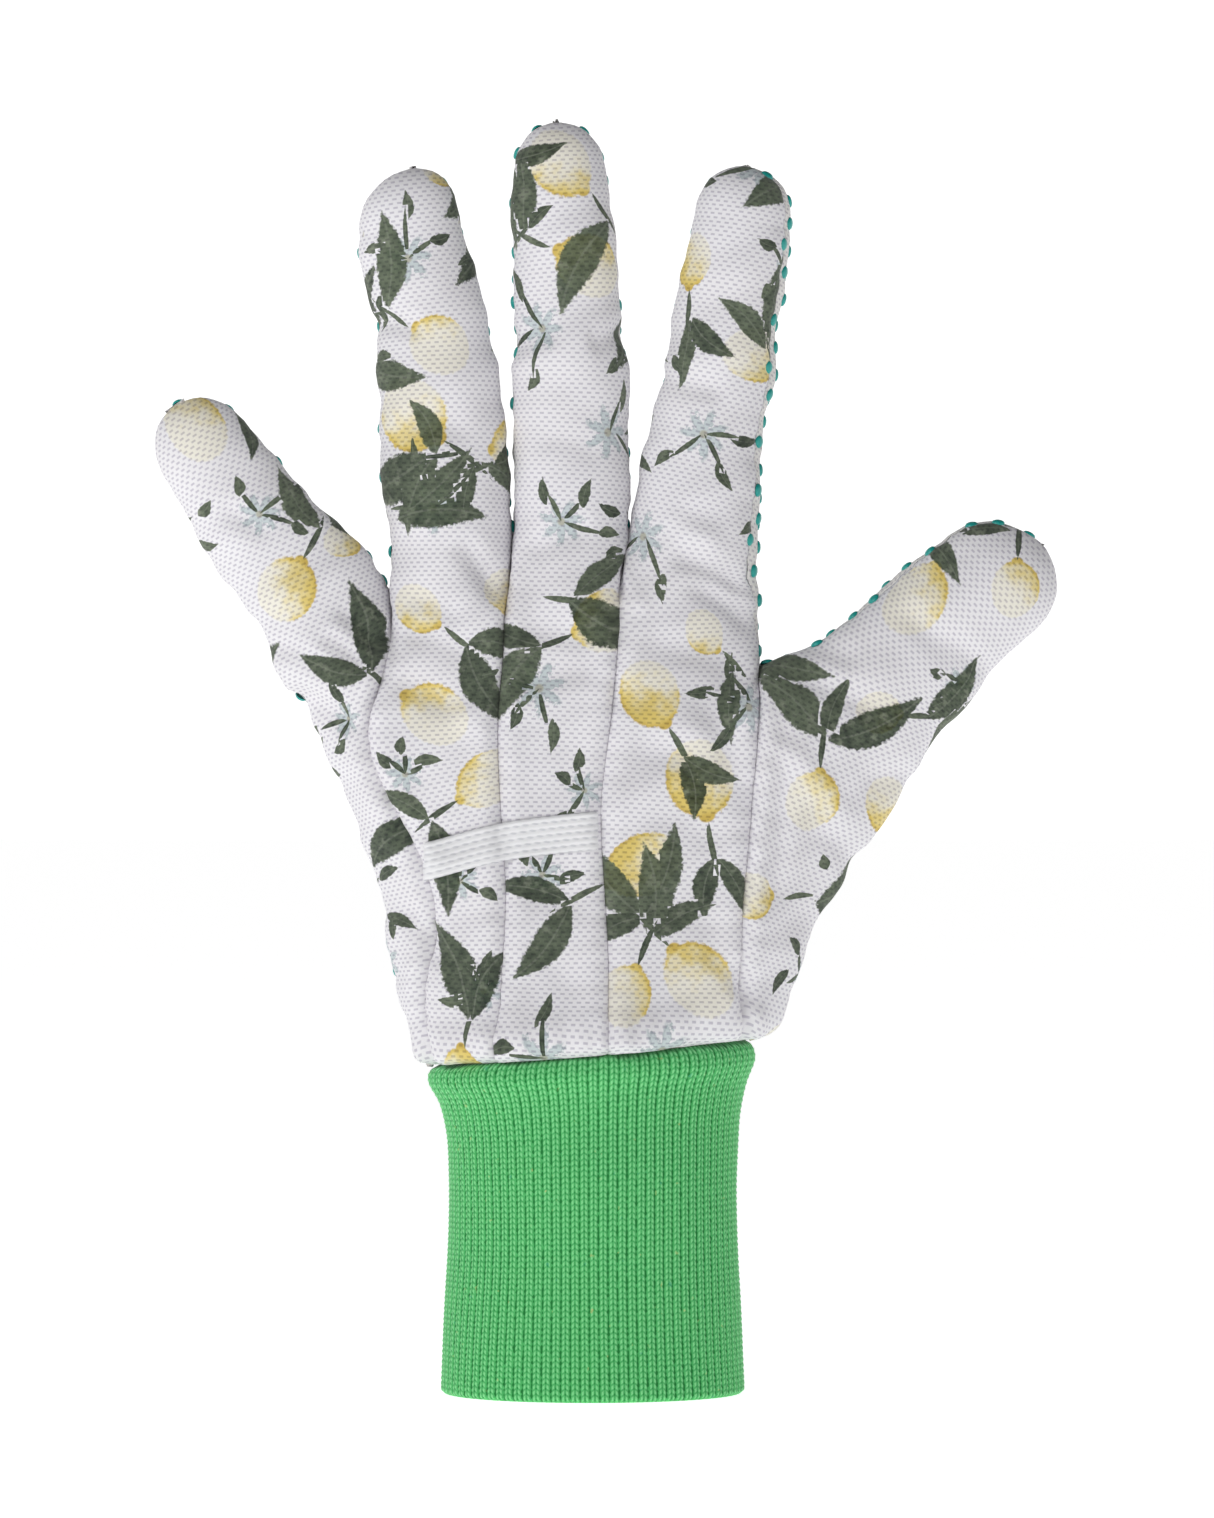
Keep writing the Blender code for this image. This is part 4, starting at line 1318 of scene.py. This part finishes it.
PRINTED = make_print()
PALM_CLOTH = make_plain("palm_cotton", "E6E4E2", "DEDCD8")
LINING = make_plain("cotton_inside", "D6D3CE", "CBC8C2")
print("three cottons")


# %% PVC dots
def make_pvc():
    material, tree, shader = finish("teal_pvc", 0.38, specular=0.5)
    place = add(tree, "TexCoord").outputs["Object"]
    noise_node = add(tree, "TexNoise", named={"Vector": place, "Scale": 900.0, "Detail": 2.0})
    colour = add(tree, "MixRGB", noise_node, linear("158F88"), linear("23A9A0"))
    tree.links.new(colour.outputs[0], shader.inputs["Base Color"])
    return material


TEAL_PVC = make_pvc()
print("one soft PVC")

# %% [markdown]
# ## Dressing the pieces
# Each cloth stands for its CAD shells, which are hidden. It takes its cotton and lining, is thickened, the
# backs are shaded on across their cut, and its placement is baked into its mesh.


def bend_over(piece):
    """Bake a finished piece's placement into its mesh."""
    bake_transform(piece)


REPLACED = {"palm_cloth": ["palm_panel"] + [f"{digit}_front_lower" for digit in FINGER_NAMES]}
for digit in FINGER_NAMES:
    REPLACED[f"{digit}_back_cloth"] = [f"{digit}_back_strip", f"{digit}_back_lower"]
    REPLACED[f"{digit}_back_tip_cloth"] = [f"{digit}_back_tip"]
    REPLACED[f"{digit}_front_tip_cloth"] = [f"{digit}_front_tip"]
for side_name in ("back", "front"):
    REPLACED[f"thumb_{side_name}_cloth"] = [f"thumb_{side_name}_panel", f"thumb_{side_name}_tip"]

for name, piece in pieces.items():
    on_back = "back" in name
    piece.data.materials.append(PRINTED if on_back else PALM_CLOTH)
    piece.data.materials.append(LINING)
    thicken(piece)
    digit = name.split("_")[0]
    if on_back and digit != "thumb":
        ends, split = ROWS[digit]
        rows = (split, len(ends) - 1) if "tip" in name else (0, split)
        smooth_ends(piece, cloth[digit, "back"][0], "back", *rows)
    bend_over(piece)
    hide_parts(*REPLACED[name])
print("dressed", ", ".join(pieces))

# %% [markdown]
# ## Grip dots
# The palm cloth is dipped on a roller that leaves soft round dots in staggered rows. They are laid out on
# the flat cloth and each is a low dome, standing square on the surface, a little sunk into it.

# %% Places of the dots
DOT_PITCH = 6.0
DOT_ROW = 5.2
DOT_DOME = ((-0.2, 1.4), (0.15, 1.38), (0.45, 1.1), (0.62, 0.6))
DOT_TOP = 0.68
DOT_SIDES = 12
DOT_APART = 4.4
DOT_CLEAR = 3                 # columns left free along the outer seams, where the cloth is turned in


def dots_on(digit, first, last):
    """Centre and outward direction of every dot on some rows of a digit's front."""
    points, places = cloth[digit, "front"]
    points, places = points[first:last + 1, 1:-1], places[first:last + 1, 1:-1]
    spread = flat_place(digit, places)
    normals = grid_normals(points, "front")
    steps = [np.gradient(points, axis=axis) for axis in (0, 1)]
    flat_steps = [np.gradient(spread, axis=axis) for axis in (0, 1)]
    tree = KDTree(spread[..., 0].size)
    for number, (x, z) in enumerate(spread.reshape(-1, 2)):
        tree.insert((x, z, 0.0), number)
    tree.balance()
    low, high = spread.reshape(-1, 2).min(axis=0), spread.reshape(-1, 2).max(axis=0)
    found = []
    for row in range(int(low[1] / DOT_ROW), int(high[1] / DOT_ROW) + 2):
        for column in range(int(low[0] / DOT_PITCH) - 2, int(high[0] / DOT_PITCH) + 2):
            place = np.array([(column + 0.5 * (row % 2)) * DOT_PITCH, row * DOT_ROW])
            _, number, far = tree.find((place[0], place[1], 0.0))
            if far > 0.9:
                continue
            i, j = divmod(number, points.shape[1])
            on_left = digit == "little" and j < DOT_CLEAR
            on_right = digit == "thumb" and j >= points.shape[1] - DOT_CLEAR
            if on_left or on_right:
                continue
            frame_here = np.stack([flat_steps[0][i, j], flat_steps[1][i, j]], axis=1)
            share = np.clip(np.linalg.pinv(frame_here) @ (place - spread[i, j]), -1, 1)
            point = points[i, j] + steps[0][i, j] * share[0] + steps[1][i, j] * share[1]
            found.append((point, normals[i, j]))
    return found


def spaced(dots):
    """Leave out a dot that would run into one already placed."""
    kept = []
    for point, normal in dots:
        if all(np.linalg.norm(point - other) > DOT_APART for other, _ in kept):
            kept.append((point, normal))
    return kept


# %% Raise the dots
def raise_dots(name, dots):
    """One piece of low domes, each a few rings of corners that close on a top, riding on its cloth."""
    turns = np.linspace(0, 2 * np.pi, DOT_SIDES, endpoint=False)
    points, faces = [], []
    for point, normal in dots:
        start = len(points)
        side = np.cross(normal, (0.0, 0.0, 1.0))
        side = side / np.linalg.norm(side)
        up = np.cross(side, normal)
        for height, radius in DOT_DOME:
            for turn in turns:
                ahead = side * math.cos(turn) + up * math.sin(turn)
                points.append(point + normal * height + radius * ahead)
        points.append(point + normal * DOT_TOP)
        for row in range(len(DOT_DOME) - 1):
            low, high = start + row * DOT_SIDES, start + (row + 1) * DOT_SIDES
            for column in range(DOT_SIDES):
                after = (column + 1) % DOT_SIDES
                faces.append((low + after, low + column, high + column, high + after))
        ring = start + (len(DOT_DOME) - 1) * DOT_SIDES
        for column in range(DOT_SIDES):
            faces.append((ring + (column + 1) % DOT_SIDES, ring + column, len(points) - 1))
    piece = add_object(name, mesh_from(name, points, faces))
    piece.data.materials.append(TEAL_PVC)
    bend_over(piece)
    return piece


palm_dots = []
for digit in FINGER_NAMES:
    ends, split = ROWS[digit]
    palm_dots += dots_on(digit, 2, split - 1)
    raise_dots(f"{digit}_front_tip_dots", spaced(dots_on(digit, split + 1, len(ends) - 3)))
palm_dots = spaced(palm_dots)
raise_dots("palm_dots", palm_dots)
raise_dots("thumb_front_dots", spaced(dots_on("thumb", 2, len(ROWS["thumb"][0]) - 3)))
print(len(palm_dots), "dots on the palm")

# %% [markdown]
# ## The knit cuff
# Two layers of rib knit, folded at the hem: 83 wales round the wrist. Each wale stands up as a rounded
# rib with a groove on both sides, and its stitches make two rows of slanting legs. The cuff narrows a
# little at its waist and turns in at the top, where the hand's cloth is sewn over it.

# %% Measure the cuff
CUFF_FACES = triangles(["knit_cuff"])


def cuff_oval(height):
    """Middle x, half width and half depth of the cuff's outside at a height."""
    points = cut(CUFF_FACES, np.array([0.0, 0.0, height]), np.array([0.0, 0.0, 1.0]))
    return ((points[:, 0].min() + points[:, 0].max()) / 2, (points[:, 0].max() - points[:, 0].min()) / 2,
            (points[:, 1].max() - points[:, 1].min()) / 2)


CUFF_LEVELS = np.arange(1.0, 68.0, 3.0)
CUFF_OVALS = np.array([cuff_oval(height) for height in CUFF_LEVELS])
CUFF_OVALS = np.stack([blurred(CUFF_OVALS[:, column], 3.0, 4.0) for column in range(3)], axis=1)
print("cuff", np.round(CUFF_OVALS[0], 1), "at the hem,", np.round(CUFF_OVALS[-1], 1), "below the seam")

# %% Knit the cuff
WALES = 83
CUFF_HEIGHT = 70.0
TURN_START = 68.0             # height where the cuff's top starts to turn in to the seam
PUFF = (1.3, 66.0, 3.0)       # how far it puffs out under the seam, at what height, over what reach
DIP = (0.6, 55.0, 7.0)        # the same for the shallow waist below that
WALE_COLUMNS = 6
COURSE = 1.15
COURSE_ROWS = 3
CUFF_THICKNESS = 2.6
RIB_RELIEF = (-0.3, -0.03, 0.1, 0.0, 0.1, -0.03)     # across one wale, from its groove


def knit_rows():
    """Rows round the cuff's section: (share of the height, how far in, how much relief, courses up)."""
    rows = []
    count = int(CUFF_HEIGHT / COURSE * COURSE_ROWS)
    for number in range(count + 1):
        share = 1 - number / count
        up = share * CUFF_HEIGHT
        turned = max(0.0, up - TURN_START) / 2.0
        puffed = PUFF[0] * math.exp(-((up - PUFF[1]) / PUFF[2]) ** 2)
        puffed -= DIP[0] * math.exp(-((up - DIP[1]) / DIP[2]) ** 2)
        rows.append((share, 2.2 * turned ** 2 - puffed, 1.0 - 0.5 * turned, up / COURSE))
    for angle in np.linspace(0, np.pi, 9)[1:-1]:
        inwards = CUFF_THICKNESS / 2 * (1 - math.cos(angle))
        rows.append((-CUFF_THICKNESS / 2 * math.sin(angle) / CUFF_HEIGHT, inwards, 1.0, -math.sin(angle)))
    for share in np.linspace(0, 1, 41):
        turned = max(0.0, share * CUFF_HEIGHT - TURN_START) / 2.0
        rows.append((share * 0.995, CUFF_THICKNESS + 0.8 * turned, 0.5, -share * CUFF_HEIGHT / COURSE))
    return rows


def knit_cuff():
    """A closed tube, double at the hem, with relief for every wale and stitch, and places for the yarn."""
    columns = WALES * WALE_COLUMNS
    turn = np.linspace(0, 2 * np.pi, columns, endpoint=False)
    fine = np.linspace(0, 2 * np.pi, 7200)
    oval = CUFF_OVALS[len(CUFF_OVALS) // 2]
    speed = np.hypot(oval[1] * np.sin(fine), oval[2] * np.cos(fine))
    length = np.concatenate([[0], np.cumsum((speed[1:] + speed[:-1]) / 2)])
    turn = np.interp(np.linspace(0, length[-1], columns + 1)[:-1], length, fine)
    relief = np.tile(RIB_RELIEF, WALES)
    wale = np.arange(columns) / WALE_COLUMNS
    off = np.abs(wale % 1 - 0.5)
    lean = 0.7 * np.sin(2.2 * turn + 1.0) + 0.4 * np.sin(5.1 * turn)
    points, courses = [], []
    for share, inwards, amount, course in knit_rows():
        top = WRIST_HEIGHT + WRIST_SLOPE * (CUFF_OVALS[-1][0] + CUFF_OVALS[-1][1] * np.cos(turn)) - 0.3
        above, below = max(share, 0.0), min(share, 0.0)
        z = top * above + below * CUFF_HEIGHT + CUFF_THICKNESS / 2 * (1 - above)
        middle, half_x, half_y = [np.interp(z, CUFF_LEVELS, CUFF_OVALS[:, column]) for column in range(3)]
        stitch = 0.12 * np.cos(2 * np.pi * (course + 1.3 * off)) * (off < 0.45)
        bulge = 0.25 * np.sin(9.0 * turn + 3.0 * share) * ease((share - 0.75) * 4.0)
        slack = 0.35 * math.sin(5.0 * share + 0.6) * np.sin(2.0 * turn + 4.0 * share)
        out = (relief + stitch) * amount - inwards - 0.15 + bulge + slack
        swing = lean / 30.0 * math.sin(3.0 * share)
        x = middle + (half_x + out) * np.cos(turn + swing * 0.25)
        y = (half_y + out) * np.sin(turn + swing * 0.25)
        points.append(np.stack([x, y, z], axis=1))
        courses.append(np.full(columns, course))
    points, courses = np.array(points), np.array(courses)
    rows = len(points)
    points = np.concatenate([points, points[:1]])
    faces = np.array(grid_faces(rows + 1, columns, closed=True))
    faces = np.where(faces >= rows * columns, faces - rows * columns, faces)
    mesh = mesh_from("cuff_knit", points[:-1].reshape(-1, 3), faces.tolist())
    wales = np.tile(wale, rows)[faces]
    around = wales.max(axis=1) - wales.min(axis=1) > WALES / 2
    wales[around] = np.where(wales[around] < WALES / 2, wales[around] + WALES, wales[around])
    uv = mesh.uv_layers.new(name="knit")
    both = np.stack([wales, courses.reshape(-1)[faces]], axis=-1)
    uv.data.foreach_set("uv", both.astype(np.float32).ravel())
    return add_object("cuff_knit", mesh)


# %% The yarn of the cuff
def make_knit():
    material, tree, shader = finish("green_heather_knit", 0.9, sheen=0.25, specular=0.15)
    place = add(tree, "UVMap", uv_map="knit")
    parts = add(tree, "SeparateXYZ", place)
    share = add(tree, "Math", parts.outputs[0], operation="FRACT")
    off = add(tree, "Math", add(tree, "Math", share, 0.5, operation="SUBTRACT"), operation="ABSOLUTE")
    beat = add(tree, "Math", add(tree, "Math", parts.outputs[1], 2 * math.pi, operation="MULTIPLY"),
               operation="COSINE")
    fray = add(tree, "TexNoise", named={"Vector": place, "Scale": 1.1, "Detail": 1.0})
    reach = add(tree, "Math", beat, 0.035, off, operation="MULTIPLY_ADD")
    reach = add(tree, "Math", fray, 0.3, reach, operation="MULTIPLY_ADD")
    # painted shade: the grooves between the wales
    wale_groove_shade = add(tree, "MapRange", reach, 0.55, 0.62, 0.0, 0.9, interpolation_type="SMOOTHSTEP")
    leg = add(tree, "Math", add(tree, "Math", off, 0.21, operation="SUBTRACT"), operation="ABSOLUTE")
    leg = add(tree, "MapRange", leg, 0.16, 0.04, 0.0, 1.0, interpolation_type="SMOOTHSTEP")
    slant = add(tree, "Math", off, 1.3, parts.outputs[1], operation="MULTIPLY_ADD")
    turned = add(tree, "Math", slant, 2 * math.pi, operation="MULTIPLY")
    stitch = add(tree, "Math", turned, operation="COSINE")
    stitch = add(tree, "MapRange", stitch, -1.0, 0.2, 0.0, 1.0)
    # painted highlight: where the legs of the stitches stand up
    pale_spots_and_leg_highlight = add(tree, "Math", leg, stitch, operation="MULTIPLY")
    # painted shade: the holes between the stitches
    knit_hole_shade = add(tree, "MapRange", off, 0.09, 0.02, 0.0, 1.0, interpolation_type="SMOOTHSTEP")
    between = add(tree, "Math", 1.1, stitch, operation="SUBTRACT")
    knit_hole_shade = add(tree, "Math", knit_hole_shade, between, operation="MULTIPLY")
    stretch = add(tree, "Mapping", place, named={"Scale": (2.2, 0.9, 1.0)})
    heather = add(tree, "TexNoise", named={"Vector": stretch, "Scale": 1.0, "Detail": 4.0})
    cloudy = add(tree, "TexNoise", named={"Vector": place, "Scale": 0.06, "Detail": 2.0})
    speck = add(tree, "TexNoise", named={"Vector": stretch, "Scale": 0.55, "Detail": 2.0})
    colour = add(tree, "MixRGB", cloudy, linear("3CA45A"), linear("4FB263"))
    colour = add(tree, "MixRGB", add(tree, "MapRange", heather, 0.35, 0.7), colour, linear("5DC274"))
    pale_spots_and_leg_highlight = add(tree, "Math", pale_spots_and_leg_highlight, 0.9, operation="MULTIPLY")
    colour = add(tree, "MixRGB", pale_spots_and_leg_highlight, colour, linear("8ADF98"))
    yellow = add(tree, "MapRange", speck, 0.7, 0.76, 0.0, 0.6)
    colour = add(tree, "MixRGB", yellow, colour, linear("C2CE84"))
    blue = add(tree, "MapRange", speck, 0.3, 0.24, 0.0, 0.5)
    colour = add(tree, "MixRGB", blue, colour, linear("369A80"))
    # the painted shade goes on last, over the grooves and the holes
    colour = add(tree, "MixRGB", wale_groove_shade, colour, linear("1F7A38"))
    colour = add(tree, "MixRGB", knit_hole_shade, colour, linear("2A8644"))
    tree.links.new(colour.outputs[0], shader.inputs["Base Color"])
    bump = add(tree, "Bump", named={"Strength": 0.2, "Distance": 0.2 * MM, "Height": heather})
    tree.links.new(bump.outputs[0], shader.inputs["Normal"])
    return material


cuff = knit_cuff()
cuff.data.materials.append(make_knit())
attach(cuff, "hand")
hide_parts("knit_cuff")
print("cuff of", len(cuff.data.polygons), "faces")

# %% [markdown]
# ## The elastic and the seam inside the wrist
# The elastic is a woven white band with cords running along it. It lies on the cloth, bridges the valley
# between the two strips it crosses, and both ends dive into seams. The overlocked edge inside the wrist
# keeps its CAD shape and gets a thread finish.

# %% Lay the elastic
BAND_STEP = 0.5
BAND_CORDS = 6
BAND_POINTS = 37
BAND_FACES = triangles(["back_elastic"])
BAND_THICKNESS = 0.7


def lay_elastic():
    tree = bmesh.new()
    for name in ("ring_back_cloth", "middle_back_cloth", "little_back_cloth", "index_back_cloth"):
        tree.from_mesh(pieces[name].data)
    skin = BVHTree.FromBMesh(tree)
    tree.free()
    corners = BAND_FACES.reshape(-1, 3)
    left, right = corners[:, 0].min(), corners[:, 0].max()
    xs = np.linspace(left, right, int((right - left) / BAND_STEP))
    edges = []
    for x in np.clip(xs, left + 0.8, right - 0.8):
        points = cut(BAND_FACES, np.array([x, 0.0, 0.0]), np.array([1.0, 0.0, 0.0]))
        edges.append((points[:, 2].min(), points[:, 2].max()))
    edges = np.array(edges)
    edges = np.stack([blurred(edges[:, column], BAND_STEP, 3.0) for column in (0, 1)], axis=1)
    shares = np.linspace(0, 1, BAND_POINTS)
    z = edges[:, :1] + (edges[:, 1:] - edges[:, :1]) * shares
    x = np.repeat(xs[:, None], BAND_POINTS, axis=1)
    under = np.zeros_like(z)
    for i, j in np.ndindex(z.shape):
        hit = skin.ray_cast(Vector((x[i, j] * MM, -0.1, z[i, j] * MM)), Vector((0, 1, 0)))[0]
        under[i, j] = hit.y / MM
    pulled = np.stack([blurred(under[:, column], BAND_STEP, 2.2) for column in range(BAND_POINTS)], axis=1)
    level = np.stack([blurred(row, 0.25, 1.5) for row in np.minimum(under, pulled)])
    ends = np.minimum(xs - left, right - xs)[:, None]
    cords = 0.11 * np.cos(2 * np.pi * BAND_CORDS * shares)
    ripple = 0.05 * np.sin(2 * np.pi * xs / 1.4)[:, None] * np.cos(2 * np.pi * (BAND_CORDS * shares + 0.25))
    y = np.minimum(level, under) - 0.25 - BAND_THICKNESS + cords + ripple
    y += (BAND_THICKNESS + 1.0) * np.exp(-(ends / 0.7) ** 2)
    y += 0.35 * np.exp(-(np.minimum(shares, 1 - shares) / 0.04) ** 2)
    points = np.stack([x, y, z], axis=2)
    mesh = mesh_from("elastic_band", points.reshape(-1, 3), grid_faces(*z.shape))
    places = np.stack([x, z - edges[:, :1]], axis=2).reshape(-1, 2)[np.array(grid_faces(*z.shape))]
    uv = mesh.uv_layers.new(name="weave")
    uv.data.foreach_set("uv", places.astype(np.float32).ravel())
    return add_object("elastic_band", mesh)


def make_elastic():
    material, tree, shader = finish("white_elastic", 0.75, sheen=0.1, specular=0.3)
    place = add(tree, "SeparateXYZ", add(tree, "UVMap", uv_map="weave"))
    # painted shade: the band darkens in the grooves between its cords, broken up by a diagonal zigzag
    wave = add(tree, "Math", place.outputs[1], 4.7, operation="MULTIPLY")
    wave = add(tree, "Math", wave, operation="COSINE")
    zigzag = add(tree, "Math", place.outputs[0], 0.9, place.outputs[1], operation="MULTIPLY_ADD")
    zigzag = add(tree, "Math", add(tree, "Math", zigzag, 3.5, operation="MULTIPLY"), operation="SINE")
    both = add(tree, "Math", wave, add(tree, "Math", zigzag, 0.35, operation="MULTIPLY"), operation="ADD")
    share = add(tree, "MapRange", both, 0.3, 1.2, 0.0, 0.8, interpolation_type="SMOOTHSTEP")
    colour = add(tree, "MixRGB", share, linear("E6E6E8"), linear("C2C2C8"))
    tree.links.new(colour.outputs[0], shader.inputs["Base Color"])
    return material


elastic = lay_elastic()
face_outwards(elastic, -1)
elastic.data.materials.append(make_elastic())
thicken(elastic, BAND_THICKNESS)
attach(elastic, "hand")
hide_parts("back_elastic")


# %% [markdown]
# ## The overlocked edge
# Where the hand meets the cuff the raw edges are bound together inside by an overlock stitch. The frame's
# own ring has its shape already, so it keeps it and only takes the dull, faintly streaked look of spun
# polyester thread.

# %% Thread for the overlocked edge
def make_thread():
    material, tree, shader = finish("overlock_thread", 0.8, sheen=0.1, specular=0.2)
    place = add(tree, "TexCoord").outputs["Object"]
    stripes = add(tree, "TexNoise", named={"Vector": place, "Scale": 1400.0, "Detail": 2.0})
    colour = add(tree, "MixRGB", stripes, linear("D9D7D0"), linear("C4C1BA"))
    tree.links.new(colour.outputs[0], shader.inputs["Base Color"])
    return material


overlock = frame["nodes"]["wrist_overlock_seam"]
thread = make_thread()
if not overlock.data.materials:
    overlock.data.materials.append(thread)
for slot_number in range(len(overlock.material_slots)):
    overlock.material_slots[slot_number].material = thread
print("elastic and overlock done")


# %% [markdown]
# ## The studio
# A white product studio is a pale sweep with large soft lights. A floor that glows a little, a bright
# band round the horizon and two soft panels give the same even light without a wall that would hide the
# glove from behind. The surroundings' brightness goes by direction alone, so it is the same for every
# camera.

# %% Floor, light and surroundings
FLOOR_REACH = 9000.0


def make_floor():
    """A wide pale floor."""
    points = [(x, y, 0.0) for y in (-FLOOR_REACH, FLOOR_REACH) for x in (-FLOOR_REACH, FLOOR_REACH)]
    piece = add_object("floor", mesh_from("floor", points, [(0, 1, 3, 2)]))
    material, _, shader = finish("studio_white", 0.95, specular=0.0)
    shader.inputs["Base Color"].default_value = linear("F4F4F4")
    shader.inputs["Emission Color"].default_value = linear("FFFFFF")
    shader.inputs["Emission Strength"].default_value = 0.85
    piece.data.materials.append(material)


def soft_light(name, place, size, power):
    """A large soft lamp at a place in millimetres, turned to the middle of the glove."""
    lamp = bpy.data.lights.new(name, "AREA")
    lamp.shape = "SQUARE"
    lamp.size = size * MM
    lamp.energy = power
    holder = bpy.data.objects.new(name, lamp)
    holder.location = Vector(place) * MM
    towards = Vector((0.0, 0.0, 140.0)) * MM - holder.location
    holder.rotation_euler = towards.to_track_quat("-Z", "Y").to_euler()
    holder.visible_camera = False
    bpy.context.scene.collection.objects.link(holder)


def make_surroundings():
    """A room that is white at eye level, most of all behind the glove, and dim overhead."""
    world = bpy.data.worlds.new("studio")
    world.use_nodes = True
    tree = world.node_tree
    outwards = add(tree, "SeparateXYZ", add(tree, "TexCoord").outputs["Generated"])
    level = add(tree, "Math", outwards.outputs[2], operation="ABSOLUTE")
    band = add(tree, "MapRange", level, 0.5, 0.3, 0.08, 1.0, interpolation_type="SMOOTHSTEP")
    behind = add(tree, "MapRange", outwards.outputs[1], 0.2, 0.7, 0.5, 1.2, interpolation_type="SMOOTHSTEP")
    strength = add(tree, "Math", band, behind, operation="MULTIPLY")
    background = tree.nodes["Background"]
    background.inputs["Color"].default_value = (1.0, 1.0, 1.0, 1.0)
    tree.links.new(strength.outputs[0], background.inputs["Strength"])
    bpy.context.scene.world = world


make_floor()
make_surroundings()
soft_light("key", (-650.0, -620.0, 620.0), 500.0, 3.6)
soft_light("fill", (800.0, -500.0, 160.0), 700.0, 0.8)
bpy.context.scene.view_settings.view_transform = "Standard"
print("studio lit")

# %% The end of the lesson
bpy.context.view_layer.update()
